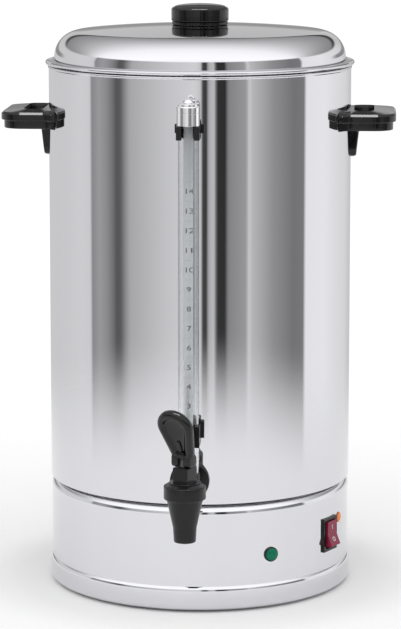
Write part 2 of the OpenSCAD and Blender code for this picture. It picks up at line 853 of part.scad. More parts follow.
// Pilot lamps
module lamp_rim(a, z, d) {
    color(BLACK) facing(a, z) difference() {
        bar_y(d / 2 + lamp_rim_w, -skirt_r - lamp_rim_t, -skirt_r + lamp_rim_t);
        bar_y(d / 2 + run_gap, -skirt_r - past, -skirt_r);
        bar_y(d / 2 - lamp_shaft + run_gap, -skirt_r - past, past);
        translate([0, 0, -z]) tank_core(skirt_r + weld_gap);
    }
}

module lamp_lens(a, z, d) {
    facing(a, z) difference() {
        translate([0, -skirt_r + lamp_rim_t, 0]) rotate([90, 0, 0])
            revolve(concat([[0, 0], [d / 2, 0]], arc([0, 2 * lamp_rim_t], d / 2, lamp_dome * d, 0, 90)));
        translate([0, 0, -z]) tank_core(skirt_r + lamp_rim_t / 4);
    }
}

module lamp_body(a, z, d) {
    color("ivory") facing(a, z) difference() {
        bar_y(d / 2 - lamp_shaft, -skirt_r - lamp_rim_t / 4, -skirt_ir + lamp_body_l);
        translate([0, 0, -z]) difference() {
            tank_core(skirt_r + past);
            tank_core(skirt_r + lamp_rim_t / 4 - weld_gap);
        }
    }
}

module ready_lamp_rim() { lamp_rim(ready_lamp_a, ready_lamp_z, ready_lamp_d); }

module ready_lamp_lens() { color("#0c6f52") lamp_lens(ready_lamp_a, ready_lamp_z, ready_lamp_d); }

module ready_lamp_body() { lamp_body(ready_lamp_a, ready_lamp_z, ready_lamp_d); }

module brew_lamp_rim() { lamp_rim(brew_lamp_a, brew_lamp_z, brew_lamp_d); }

module brew_lamp_lens() { color("darkorange") lamp_lens(brew_lamp_a, brew_lamp_z, brew_lamp_d); }

module brew_lamp_body() { lamp_body(brew_lamp_a, brew_lamp_z, brew_lamp_d); }

// Handles
module handle_outline(inset) {
    r = handle_corner_r;
    hw = handle_loop_hw - inset;
    root_x = handle_root_x - inset;
    end_x = handle_end_x - inset;
    translate([root_x, -hw]) square([end_x - r - root_x, 2 * hw]);
    translate([root_x, r - hw]) square([end_x - root_x, 2 * (hw - r)]);
    for (s = [-1, 1]) translate([end_x - r, s * (hw - r)]) circle(r);
}

module finger_outline() {
    x0 = finger_x + finger_r;
    x1 = finger_x + finger_gap_w - finger_r;
    y = finger_gap_hl - finger_r;
    polygon(concat(
        arc([x1, y], finger_r, finger_r, 0, 90), arc([x0, y], finger_r, finger_r, 90, 180),
        arc([x0, -y], finger_r, finger_r, 180, 270), arc([x1, -y], finger_r, finger_r, 270, 360)
    ));
}

module handle_tongue() {
    h = tongue_l + tongue_lap;
    side = [tongue_root_hw, handle_z + tongue_lap];
    tip = arc([0, tongue_z + tongue_tip_hw], tongue_tip_hw, tongue_tip_hw, 180, 360);
    intersection() {
        rotate([90, 0, 90]) linear_extrude(tank_r + handle_reach)
            polygon(concat([[side[0], side[1]], [-side[0], side[1]]], tip));
        translate([0, 0, tongue_z])
            cylinder(r1 = tank_r + tongue_tip_t, r2 = tank_r + tongue_root_t, h = h);
    }
}

module handle_loop() {
    difference() {
        union() {
            translate([0, 0, handle_z])
                linear_extrude(handle_low_h + tongue_lap) handle_outline(handle_step);
            translate([0, 0, handle_z + handle_low_h])
                linear_extrude(handle_t - handle_low_h) handle_outline(0);
            translate([handle_pad_x, -handle_root_hw, handle_z + handle_pad_inset])
                cube([handle_pad_t, 2 * handle_root_hw, handle_t - 2 * handle_pad_inset]);
        }
        translate([0, 0, handle_z - cut]) linear_extrude(handle_t + 2 * cut) finger_outline();
    }
}

module handle() {
    difference() {
        union() {
            handle_loop();
            handle_tongue();
        }
        tank_core(tank_r + seat_gap);
        for (s = [-1, 1])
            rotate([0, 0, s * handle_screw_a]) translate([tank_r, 0, handle_mid_z])
                bar_x(handle_screw_d / 2 + run_gap, 2 * handle_screw_l + 1);
    }
}

module handle_left() { color(BLACK) rotate([0, 0, 180]) handle(); }

module handle_right() { color(BLACK) handle(); }

module handle_screw_places()
    for (side = [0, 180])
        for (s = [-1, 1])
            rotate([0, 0, side + s * handle_screw_a]) translate([0, 0, handle_mid_z]) children();

module handle_screws() {
    head_x = tank_ir - handle_seal_t - 0.4;
    color(STEEL) handle_screw_places() rotate([0, 90, 0]) {
        translate([0, 0, head_x - handle_screw_head_h])
            cylinder(d = handle_screw_head_d, h = handle_screw_head_h);
        translate([0, 0, head_x - cut])
            cylinder(d = handle_screw_d, h = tank_r + handle_screw_l - head_x);
    }
}

module handle_seals() {
    flat_x = tank_ir - handle_seal_t - 0.4;
    color(SILICONE) handle_screw_places() intersection() {
        translate([flat_x, 0, 0]) rotate([0, 90, 0]) difference() {
            cylinder(d = handle_seal_d, h = past);
            translate([0, 0, -cut]) cylinder(d = handle_screw_d + 2 * seat_gap, h = past + 2 * cut);
        }
        translate([0, 0, -handle_mid_z]) tank_core(tank_ir - weld_gap);
    }
}

// Tap
module at_tap() translate([0, tap_y, 0]) children();

module at_pin() at_tap() rotate([0, 0, -lever_yaw]) translate([0, 0, pin_z]) children();

module tap_body() {
    color(BLACK) difference() {
        union() {
            at_tap() revolve([
                [0, spout_z], [nozzle_d / 2, spout_z], [nozzle_top_d / 2, cone_end_z],
                [cone_d / 2, collar_z], [collar_d / 2, collar_z],
                [collar_d / 2, collar_top - collar_slope_h], [collar_d / 2 - collar_slope_w, collar_top],
                [0, collar_top]
            ]);
            translate([0, 0, shank_z]) {
                bar_y(shank_r, tap_y, shank_end_y);
                bar_y(flange_d / 2, flange_y, flange_y + flange_t);
            }
            translate([0, gauge_y, shank_z]) cylinder(r = boss_r, h = boss_top - shank_z);
        }
        at_tap() {
            translate([0, 0, spout_z - cut])
                cylinder(d = spout_bore, h = seat_z - seat_ring_h - spout_z + cut);
            translate([0, 0, spout_z]) cylinder(d = seat_bore, h = seat_z - spout_z + cut);
            translate([0, 0, seat_z]) cylinder(r = chamber_r, h = collar_top - seat_z + cut);
        }
        translate([0, 0, shank_z]) bar_y(shank_bore / 2, tap_y, shank_end_y + cut);
        translate([0, gauge_y, shank_z]) cylinder(r = sight_r - sight_wall, h = past);
        translate([0, gauge_y, sight_z]) cylinder(r = grommet_r, h = past);
    }
}

module tap_outer_seal() {
    color(RUBBER) difference() {
        translate([0, 0, shank_z]) difference() {
            bar_y(flange_d / 2, -tank_r - tap_seal_t, -tank_r + flange_t);
            bar_y(shank_r + seat_gap, -tank_r - past, -tank_r + past);
        }
        tank_core(tank_r + weld_gap);
    }
}

module tap_inner_seal() {
    color(SILICONE) intersection() {
        translate([0, 0, shank_z]) difference() {
            bar_y(inner_seal_d / 2, -tank_ir - cut, -tank_ir + tap_seal_t);
            bar_y(shank_r + seat_gap, -tank_ir - past, -tank_ir + past);
        }
        tank_core(tank_ir - weld_gap);
    }
}

module tap_nut() {
    y0 = -tank_ir + tap_seal_t;
    color("#3a3a3c") translate([0, y0 + tap_nut_h, shank_z]) rotate([90, 0, 0]) difference() {
        cylinder(d = tap_nut_d, h = tap_nut_h, $fn = 6);
        translate([0, 0, -cut]) cylinder(r = shank_r + weld_gap, h = tap_nut_h + 2 * cut);
    }
}

module tap_bonnet() {
    color(BLACK) at_tap() difference() {
        union() {
            translate([0, 0, plug_z]) cylinder(r = plug_r, h = collar_top - plug_z + cut / 2);
            translate([0, 0, collar_top]) cylinder(r = bonnet_flange_r, h = bonnet_flange_t);
            rotate([0, 0, -lever_yaw]) translate([-tower_w / 2, -tower_depth / 2, collar_top + cut])
                cube([tower_w, tower_depth, tower_top - collar_top - cut]);
        }
        translate([0, 0, plug_z - cut]) cylinder(r = spring_room_r, h = spring_room_top - plug_z + cut);
        cylinder(r = stem_r + run_gap, h = rim_z);
    }
}

module tap_stem() {
    color(CHROME) {
        at_tap() {
            translate([0, 0, stem_foot_z]) cylinder(r = stem_r, h = tower_top + cut - stem_foot_z);
            translate([0, 0, shoulder_z]) cylinder(r = shoulder_r, h = shoulder_t);
        }
        at_pin() difference() {
            union() {
                bar_x(tongue_eye_r, tongue_eye_t);
                translate([-tongue_eye_t / 2, -tongue_eye_r, tower_top + part_gap - pin_z])
                    cube([tongue_eye_t, 2 * tongue_eye_r, pin_z - tower_top - part_gap]);
            }
            bar_x(pin_r, tongue_eye_t + cut);
        }
    }
}

module tap_seat() {
    color(SILICONE) at_tap() difference() {
        union() {
            translate([0, 0, seat_z + seat_gap]) cylinder(r = seat_disc_r, h = seat_disc_t);
            translate([0, 0, seat_z - seat_nose_h]) cylinder(r = seat_nose_r, h = seat_nose_h + cut);
        }
        translate([0, 0, stem_foot_z]) cylinder(r = stem_r, h = past);
    }
}

// Spring round the stem, as one wire along a helix with flat end turns
spring_z = shoulder_z + shoulder_t + spring_wire_d / 2 + seat_gap;
spring_end_z = spring_room_top - spring_wire_d / 2 - seat_gap;
spring_rings = 8;
spring_sides = 6;

function spring_point(t) =
    let (u = t / spring_turns, a = 360 * t)
    [spring_d / 2 * cos(a), spring_d / 2 * sin(a), spring_z + (spring_end_z - spring_z) * u];

function spring_ring(t) =
    let (a = 360 * t, p = spring_point(t))
    [for (i = [0 : spring_sides - 1])
        let (b = 360 * i / spring_sides, w = spring_wire_d / 2 * cos(b))
        p + [w * cos(a), w * sin(a), spring_wire_d / 2 * sin(b)]];

module tap_spring() {
    n = spring_turns * spring_rings;
    s = spring_sides;
    points = [for (k = [0 : n]) each spring_ring(k / spring_rings)];
    walls = [for (k = [0 : n - 1], i = [0 : s - 1]) let (j = (i + 1) % s)
        each [[k * s + i, (k + 1) * s + i, k * s + j], [k * s + j, (k + 1) * s + i, (k + 1) * s + j]]];
    ends = [for (i = [1 : s - 2]) each [[0, i, i + 1], [n * s, n * s + i + 1, n * s + i]]];
    color(DARK_STEEL) at_tap() polyhedron(points = points, faces = concat(walls, ends));
}

module paddle_outline(inset) {
    r = paddle_r - inset;
    hw = neck_hw - inset;
    lean_a = asin((r - hw) / (paddle_mid - lever_neck));
    polygon(concat(
        [[hw, lever_neck + inset]], arc([0, paddle_mid], r, r, -lean_a, 180 + lean_a, 20),
        [[-hw, lever_neck + inset]]
    ));
}

// One cheek of the lever: its eye, its cam and its arm
module cheek_outline() {
    circle(r = cheek_r);
    translate([-cam_throw, 0]) circle(r = cam_r);
    rotate(lever_lean) translate([-cheek_arm_w / 2, 0]) square([cheek_arm_w, lever_neck + cheek_arm_in]);
}

module tap_lever() {
    color(BLACK) at_pin() difference() {
        union() {
            rotate([lever_lean, 0, 0]) {
                difference() {
                    translate([0, paddle_t / 2, 0]) rotate([90, 0, 0])
                        linear_extrude(paddle_t) paddle_outline(0);
                    translate([0, -paddle_t / 2 + paddle_dish, 0]) rotate([90, 0, 0])
                        linear_extrude(paddle_dish + cut) paddle_outline(paddle_rim);
                }
                translate([-rib_w / 2, paddle_dish - paddle_t / 2 - rib_h, lever_neck + 2 * paddle_rim])
                    cube([rib_w, rib_h + cut, rib_l]);
            }
            for (x = [-lever_hw, cheek_in])
                translate([x, 0, 0]) rotate([90, 0, 90]) linear_extrude(cheek_t) cheek_outline();
            translate([-lever_hw, -hood_front, hood_low])
                cube([2 * lever_hw, hood_t, hood_h]);
        }
        bar_x(pin_r + run_gap, past);
    }
}

module lever_pin() { color(CHROME) at_pin() bar_x(pin_r, 2 * (lever_hw - pin_inset)); }

// Gauge
module gauge_tube(r, ir, z0, z1) translate([0, gauge_y, 0]) tube(r, ir, z0, z1);

module gauge_sight_tube() {
    color(CLEAR, 0.5) gauge_tube(sight_r, sight_r - sight_wall, sight_z, sight_top);
}

module gauge_guard() { color(CLEAR, 0.4) gauge_tube(guard_r, guard_ir, guard_z, guard_top); }

module gauge_scale() {
    color("white") translate([-scale_w / 2, scale_y, guard_z + scale_end])
        cube([scale_w, scale_t, guard_top - guard_z - 2 * scale_end]);
}

module gauge_cap() {
    top = cap_z + cap_h;
    color(CHROME) translate([0, gauge_y, 0]) difference() {
        revolve(concat(
            [[0, cap_z], [cap_r, cap_z], [cap_r, cap_groove_z - cap_groove],
             [cap_r - cap_groove, cap_groove_z], [cap_r, cap_groove_z + cap_groove]],
            arc([cap_r - cap_edge_r, top - cap_edge_r], cap_edge_r, cap_edge_r, 0, 90),
            [[cap_tier_r, top], [cap_tier_r - cap_groove, top + cap_tier_h]],
            arc([0, top + cap_tier_h], cap_nipple_r, cap_crown_h - cap_tier_h, 0, 90)
        ));
        translate([0, 0, cap_z - cut]) cylinder(r = guard_r + seat_gap, h = cap_depth + cut);
        translate([0, 0, cap_z]) cylinder(r = sight_r + seat_gap, h = sight_top - cap_z + part_gap);
    }
}

module holder_block(z, h) {
    back_y = gauge_y + cap_r + part_gap;
    difference() {
        union() {
            translate([-holder_w / 2, 0, 0]) rotate([90, 0, 90]) linear_extrude(holder_w) polygon([
                [-holder_front, z], [-holder_back - holder_chamfer, z], [-holder_back, z + holder_chamfer],
                [-holder_back, z + h + holder_rise], [back_y, z + h + holder_rise], [back_y, z + h],
                [-holder_front, z + h]
            ]);
            translate([-holder_foot_w / 2, -tank_r - holder_foot_t, z + holder_chamfer])
                cube([holder_foot_w, tank_r + holder_foot_t - holder_foot_back, h - holder_chamfer]);
        }
        translate([0, gauge_y, z - cut]) cylinder(r = guard_r + seat_gap, h = h + holder_rise + 2 * cut);
        translate([-holder_slot_w / 2, -holder_front - cut, z - cut])
            cube([holder_slot_w, holder_front + gauge_y + cut, h + 2 * cut]);
        translate([0, 0, z + h / 2])
            bar_y(gauge_stud_d / 2 + run_gap, -tank_r - gauge_stud_l - seat_gap, past);
        tank_core(tank_r + seat_gap);
    }
}

module gauge_holder() { color(BLACK) holder_block(holder_z, holder_h); }

module gauge_clip() { color(BLACK) holder_block(clip_z, clip_h); }

module gauge_grommet() {
    color(SILICONE)
        gauge_tube(grommet_r - weld_gap, sight_r + weld_gap, sight_z, boss_top - cut / 2);
}

module gauge_studs() {
    color(STEEL) for (z = [holder_z + holder_h / 2, clip_z + clip_h / 2])
        difference() {
            translate([0, 0, z]) bar_y(gauge_stud_d / 2, -tank_r - gauge_stud_l, -tank_r + sheet_t);
            tank_core(tank_r + weld_gap / 5);
        }
}

// Lid
module lid() {
    crown_a = 90 - lid_crown_slope;
    shoulder = [lid_r - lid_shoulder_r, lid_shoulder_z];
    crown = [0, lid_top - lid_crown_r];
    inner_r = lid_shoulder_r - sheet_t;
    inner_crown_r = lid_crown_r - sheet_t;
    outer = concat([[lid_r, lid_z]], arc(shoulder, lid_shoulder_r, lid_shoulder_r, 0, crown_a, 12),
        arc(crown, lid_crown_r, lid_crown_r, crown_a + lid_crown_slope / 8, 90, 7));
    inner = concat([[lid_r - sheet_t, lid_z]], arc(shoulder, inner_r, inner_r, 0, crown_a, 12),
        arc(crown, inner_crown_r, inner_crown_r, crown_a + lid_crown_slope / 8, 90, 7));
    color(STEEL) difference() {
        union() {
            revolve(concat(outer, reversed(inner)));
            tube(lid_bead_r, lid_r - sheet_t / 2, lid_bead_z, lid_bead_z + sheet_t);
            translate([0, 0, lid_bead_z])
                rotate_extrude() translate([lid_bead_r, 0]) circle(d = lid_bead_d);
        }
        translate([0, 0, lid_z]) cylinder(d = knob_screw_d + 2 * seat_gap, h = past + lid_h);
    }
}

module lid_knob() {
    body_z = knob_z + knob_foot_h;
    edge_z = knob_z + knob_h - knob_crown_h - knob_edge_r;
    edge_x = knob_r - knob_edge_r;
    color(BLACK) difference() {
        revolve(concat(
            [[0, knob_z], [knob_r - 2 * knob_groove, knob_z],
             [knob_r - knob_groove / 2, knob_z + knob_groove],
             [knob_r - knob_groove / 2, body_z - knob_groove / 2], [knob_r - knob_groove, body_z],
             [knob_r, body_z + knob_groove]],
            arc([edge_x, edge_z], knob_edge_r, knob_edge_r, 0, 80),
            arc([0, edge_z + knob_edge_r], edge_x, knob_crown_h, 10, 90)
        ));
        translate([0, 0, knob_z - cut])
            cylinder(d = knob_screw_d + 2 * run_gap, h = knob_screw_l + 2 * cut);
    }
}

module knob_washer() {
    color(RUBBER) translate([0, 0, lid_top]) difference() {
        cylinder(d = knob_washer_d, h = knob_washer_t);
        translate([0, 0, -cut]) cylinder(d = knob_screw_d + 2 * seat_gap, h = knob_washer_t + 2 * cut);
    }
}

module knob_screw() {
    under = lid_top - sheet_t - 0.1;
    color(STEEL) {
        translate([0, 0, under - knob_screw_head_h]) cylinder(d = knob_screw_head_d, h = knob_screw_head_h);
        translate([0, 0, under - cut]) cylinder(d = knob_screw_d, h = knob_z + knob_screw_l - under + cut);
    }
}

// Percolator
module riser_tube() {
    color(STEEL) {
        tube(riser_r, riser_r - sheet_t, riser_z, rim_z + riser_top);
        tube(stop_r, riser_r - sheet_t / 2, basket_z - stop_h, basket_z);
    }
}

module pump_bell() {
    slope_h = bell_h - bell_sleeve_h;
    sleeve_r = riser_r + weld_gap;
    color(STEEL) translate([0, 0, bell_z]) difference() {
        revolve([
            [bell_r, 0], [bell_r, bell_rim_h], [sleeve_r + sheet_t, slope_h], [sleeve_r + sheet_t, bell_h],
            [sleeve_r, bell_h], [sleeve_r, slope_h - sheet_t], [bell_r - sheet_t, bell_rim_h - sheet_t],
            [bell_r - sheet_t, 0]
        ]);
        for (a = [0, 90])
            rotate([0, 0, a])
                translate([-bell_r - cut, -bell_notch_w / 2, -cut])
                    cube([2 * bell_r + 2 * cut, bell_notch_w, bell_notch_h + cut]);
    }
}

// Rings of holes across a disc
module hole_rings(first, last) {
    for (r = [first : basket_hole_step : last]) {
        count = floor(2 * PI * r / basket_hole_step);
        for (i = [0 : count - 1])
            rotate(360 * i / count) translate([r, 0]) circle(d = basket_hole_d, $fn = 16);
    }
}

module filter_basket() {
    sleeve_ir = riser_r + part_gap;
    sleeve_r = sleeve_ir + sheet_t;
    color(STEEL) {
        translate([0, 0, basket_z]) linear_extrude(sheet_t) difference() {
            circle(r = basket_r - sheet_t / 2);
            circle(r = sleeve_ir);
            hole_rings(sleeve_r + basket_hole_step, basket_r - basket_hole_step / 2);
        }
        tube(basket_r, basket_r - sheet_t, basket_z, basket_top);
        tube(sleeve_r, sleeve_ir, basket_z, basket_z + basket_sleeve_h);
    }
}

module basket_cover() {
    lip_ir = cover_r - sheet_t;
    color(STEEL) {
        translate([0, 0, cover_z]) linear_extrude(sheet_t) difference() {
            circle(r = lip_ir + sheet_t / 2);
            circle(r = riser_r + part_gap);
            hole_rings(cover_hole_first, basket_r - basket_hole_step);
        }
        tube(cover_r, lip_ir, cover_z - cover_lip_h, cover_z + sheet_t);
    }
}

tank();
tank_floor();
base_skirt();
plinth();
base_plate();
foot_ring();
base_screws();
heat_plate();
main_heater();
keep_warm_heater();
heater_stud();
heater_clamp();
clamp_nut();
thermostat();
thermal_cutout();
terminal_block();
mains_inlet();
inlet_pins();
inlet_screws();
switch_housing();
switch_rocker();
switch_terminals();
ready_lamp_rim();
ready_lamp_lens();
ready_lamp_body();
brew_lamp_rim();
brew_lamp_lens();
brew_lamp_body();
handle_left();
handle_right();
handle_screws();
handle_seals();
tap_body();
tap_outer_seal();
tap_inner_seal();
tap_nut();
tap_bonnet();
tap_stem();
tap_seat();
tap_spring();
tap_lever();
lever_pin();
gauge_sight_tube();
gauge_guard();
gauge_scale();
gauge_cap();
gauge_holder();
gauge_clip();
gauge_grommet();
gauge_studs();
lid();
lid_knob();
knob_washer();
knob_screw();
riser_tube();
pump_bell();
filter_basket();
basket_cover();
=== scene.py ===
import json
import math

import bmesh
import bpy
from mathutils import Matrix, Vector

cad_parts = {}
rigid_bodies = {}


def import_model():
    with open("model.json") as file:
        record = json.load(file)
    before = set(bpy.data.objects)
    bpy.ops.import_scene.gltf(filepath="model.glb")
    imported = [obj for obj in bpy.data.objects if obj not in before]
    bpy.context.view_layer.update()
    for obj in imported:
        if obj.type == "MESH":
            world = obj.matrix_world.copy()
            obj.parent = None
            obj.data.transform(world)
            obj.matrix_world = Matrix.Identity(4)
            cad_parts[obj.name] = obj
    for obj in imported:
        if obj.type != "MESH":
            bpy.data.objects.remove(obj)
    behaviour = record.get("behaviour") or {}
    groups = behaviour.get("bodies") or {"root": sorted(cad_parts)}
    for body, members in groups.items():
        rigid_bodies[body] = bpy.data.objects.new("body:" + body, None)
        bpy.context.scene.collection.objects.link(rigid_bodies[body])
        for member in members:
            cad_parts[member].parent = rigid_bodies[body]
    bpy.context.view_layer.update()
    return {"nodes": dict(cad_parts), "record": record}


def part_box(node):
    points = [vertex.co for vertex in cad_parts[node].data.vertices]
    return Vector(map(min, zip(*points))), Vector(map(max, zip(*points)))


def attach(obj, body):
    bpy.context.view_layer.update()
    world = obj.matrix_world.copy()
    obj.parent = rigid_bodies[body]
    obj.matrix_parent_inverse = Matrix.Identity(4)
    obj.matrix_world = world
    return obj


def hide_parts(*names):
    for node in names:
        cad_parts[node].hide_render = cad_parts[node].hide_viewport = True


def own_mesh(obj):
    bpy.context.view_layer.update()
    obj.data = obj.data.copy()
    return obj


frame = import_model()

MM = 0.001
NODES = frame["nodes"]

# Sizes taken from the frame, in metres
TANK_LOW, TANK_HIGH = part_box("tank")
LID_LOW, LID_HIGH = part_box("lid")
KNOB_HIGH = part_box("lid_knob")[1]
PLINTH_LOW, PLINTH_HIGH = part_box("plinth")
HANDLE_LOW, HANDLE_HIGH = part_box("handle_right")
CAP_LOW, CAP_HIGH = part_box("gauge_cap")
GUARD_LOW, GUARD_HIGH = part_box("gauge_guard")
SIGHT_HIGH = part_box("gauge_sight_tube")[1]
SCALE_LOW, SCALE_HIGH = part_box("gauge_scale")
TAP_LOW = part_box("tap_body")[0]

SHEET = 1 * MM
RIM_PROUD = 0.8 * MM
RIM_BEAD_R = 1.7 * MM
TANK_R = TANK_HIGH.x - RIM_PROUD
RIM_Z = TANK_HIGH.z
BASE_Z = TANK_LOW.z
GAP = 0.1 * MM

# Geometry helpers
ON_AXIS = 1e-7
FILLET_SHARE = 0.49
SHELL_STEPS = 288
FINE_STEPS = 128
ROUND_STEPS = 96
LAMP_STEPS = 64


def arc(centre, rx, ry, start, end, steps):
    """Points along part of an ellipse, with its angles in degrees."""
    turns = [math.radians(start + (end - start) * i / steps) for i in range(steps + 1)]
    return [(centre[0] + rx * math.cos(t), centre[1] + ry * math.sin(t)) for t in turns]


def circle(centre, radius, sides):
    return arc(centre, radius, radius, 0, 360 - 360 / sides, sides - 1)


def fillet(points, steps=5):
    """A closed outline in which a corner written (x, y, radius) is rounded."""
    outline = []
    for i, point in enumerate(points):
        here = Vector(point[:2])
        if len(point) == 2:
            outline.append(tuple(here))
            continue
        back = Vector(points[i - 1][:2]) - here
        ahead = Vector(points[(i + 1) % len(points)][:2]) - here
        half = back.angle(ahead) / 2
        reach = min(point[2] / math.tan(half), FILLET_SHARE * back.length, FILLET_SHARE * ahead.length)
        radius = reach * math.tan(half)
        inwards = (back.normalized() + ahead.normalized()).normalized()
        centre = here + inwards * (radius / math.sin(half))
        first = here + back.normalized() * reach - centre
        last = here + ahead.normalized() * reach - centre
        start = math.atan2(first.y, first.x)
        sweep = (math.atan2(last.y, last.x) - start + math.pi) % (2 * math.pi) - math.pi
        for k in range(steps + 1):
            turn = start + sweep * k / steps
            outline.append((centre.x + radius * math.cos(turn), centre.y + radius * math.sin(turn)))
    return outline


def shifted(outline, weights, inset):
    """The outline moved inwards by inset times each point's weight."""
    moved = []
    for i, point in enumerate(outline):
        here = Vector(point)
        ahead = Vector(outline[(i + 1) % len(outline)]) - here
        back = here - Vector(outline[i - 1])
        normal = (ahead.normalized() + back.normalized()).normalized()
        moved.append(here + Vector((-normal.y, normal.x)) * inset * weights[i])
    return moved


def join_rings(bm, first, second):
    """Faces between two closed rings of vertices, either of which may be a single point."""
    count = max(len(first), len(second))
    for i in range(count):
        j = (i + 1) % count
        here = [first[i % len(first)], first[j % len(first)]]
        there = [second[j % len(second)], second[i % len(second)]]
        corners = list(dict.fromkeys(here + there))
        if len(corners) > 2:
            bm.faces.new(corners)


def ring_edges(bm, ring):
    return [bm.edges.get((ring[i - 1], ring[i])) for i in range(len(ring))]


def revolve(bm, profile, steps, place=Matrix.Identity(4), closed=True):
    """Turns a profile of (radius, height) points round the local Z axis."""
    rings = []
    for radius, height in profile:
        turns = [2 * math.pi * i / steps for i in range(steps if radius > ON_AXIS else 1)]
        points = [Vector((radius * math.sin(t), -radius * math.cos(t), height)) for t in turns]
        rings.append([bm.verts.new(place @ point) for point in points])
    for i in range(len(rings) if closed else len(rings) - 1):
        join_rings(bm, rings[i], rings[(i + 1) % len(rings)])


def loft(bm, loops):
    """A closed solid through a stack of loops with the same number of points."""
    rings = [[bm.verts.new(point) for point in loop] for loop in loops]
    for lower, upper in zip(rings, rings[1:]):
        join_rings(bm, lower, upper)
    for ring in (rings[0], rings[-1]):
        bmesh.ops.triangle_fill(bm, edges=ring_edges(bm, ring), use_beauty=True)


def add_object(name, data):
    obj = bpy.data.objects.new(name, data)
    bpy.context.scene.collection.objects.link(obj)
    return obj


def piece(bm, name, material, body, nodes=(), sharp=32):
    """Makes a mesh piece that rides on a body and stands for the CAD nodes."""
    bmesh.ops.recalc_face_normals(bm, faces=bm.faces)
    for face in bm.faces:
        face.smooth = True
    for edge in bm.edges:
        if edge.calc_face_angle(math.pi) > math.radians(sharp):
            edge.smooth = False
    mesh = bpy.data.meshes.new(name)
    bm.to_mesh(mesh)
    bm.free()
    mesh.materials.append(material)
    obj = add_object(name, mesh)
    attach(obj, body)
    if nodes:
        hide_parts(*nodes)
    return obj


def line_inside(obj, is_inside):
    """Gives the satin inner steel to the faces whose radius and height are inside."""
    obj.data.materials.append(MATERIALS["inner_steel"])
    for polygon in obj.data.polygons:
        centre = polygon.center
        if is_inside(math.hypot(centre.x, centre.y), centre.z):
            polygon.material_index = 1


def facing(angle, height, radius):
    """A place on the base, turned outwards at an angle from the tap, with local Z pointing out."""
    turn = Matrix.Rotation(math.radians(angle), 4, "Z")
    return turn @ Matrix.Translation((0, -radius, height)) @ Matrix.Rotation(math.pi / 2, 4, "X")


def towards_front(y, z):
    """A place on the middle plane with local Z pointing to the front."""
    return Matrix.Translation((0, y, z)) @ Matrix.Rotation(math.pi / 2, 4, "X")


# Shader node helpers, with the colour sockets of a mix node
MIX_FIRST = 6
MIX_SECOND = 7
MIX_RESULT = 2
NOISE_DETAIL = 3.0


def add_node(tree, kind, **settings):
    node = tree.nodes.new(kind)
    for key, value in settings.items():
        setattr(node, key, value)
    return node


def maths(tree, operation, first, second):
    node = add_node(tree, "ShaderNodeMath", operation=operation)
    for socket, value in zip(node.inputs, (first, second)):
        if isinstance(value, (int, float)):
            socket.default_value = value
        else:
            tree.links.new(value, socket)
    return node.outputs[0]


def distance(tree, kind, output):
    """How far the place that a node gives lies from its origin."""
    place = add_node(tree, kind)
    length = add_node(tree, "ShaderNodeVectorMath", operation="LENGTH")
    tree.links.new(place.outputs[output], length.inputs[0])
    return length.outputs["Value"]


def map_range(tree, value, start, end, low=0.0, high=1.0, curve="SMOOTHSTEP"):
    """Low where the value is below start, high where it is above end, and a curve between them."""
    node = add_node(tree, "ShaderNodeMapRange", interpolation_type=curve)
    node.inputs["From Min"].default_value = start
    node.inputs["From Max"].default_value = end
    node.inputs["To Min"].default_value = low
    node.inputs["To Max"].default_value = high
    tree.links.new(value, node.inputs["Value"])
    return node.outputs["Result"]


def mix_colours(tree, share, first, second):
    """A blend of two colours, each a tuple or a socket."""
    node = add_node(tree, "ShaderNodeMix", data_type="RGBA")
    tree.links.new(share, node.inputs[0])
    for socket, colour in ((MIX_FIRST, first), (MIX_SECOND, second)):
        if isinstance(colour, tuple):
            node.inputs[socket].default_value = colour
        else:
            tree.links.new(colour, node.inputs[socket])
    return node.outputs[MIX_RESULT]


def ramp(tree, share, stops):
    """Grey levels between stops written (share, level)."""
    node = add_node(tree, "ShaderNodeValToRGB")
    elements = node.color_ramp.elements
    while len(elements) > 1:
        elements.remove(elements[-1])
    elements[0].position = stops[0][0]
    elements[0].color = (stops[0][1],) * 3 + (1,)
    for position, level in stops[1:]:
        elements.new(position).color = (level,) * 3 + (1,)
    tree.links.new(share, node.inputs["Fac"])
    return node.outputs["Color"]


def noise(tree, scale, stretch):
    """A noise texture in object space; the objects sit at the origin, so one unit is a metre."""
    place = add_node(tree, "ShaderNodeTexCoord")
    mapping = add_node(tree, "ShaderNodeMapping")
    mapping.inputs["Scale"].default_value = [scale * s for s in stretch]
    texture = add_node(tree, "ShaderNodeTexNoise")
    texture.inputs["Scale"].default_value = 1.0
    texture.inputs["Detail"].default_value = NOISE_DETAIL
    tree.links.new(place.outputs["Object"], mapping.inputs["Vector"])
    tree.links.new(mapping.outputs["Vector"], texture.inputs["Vector"])
    return texture.outputs["Fac"]


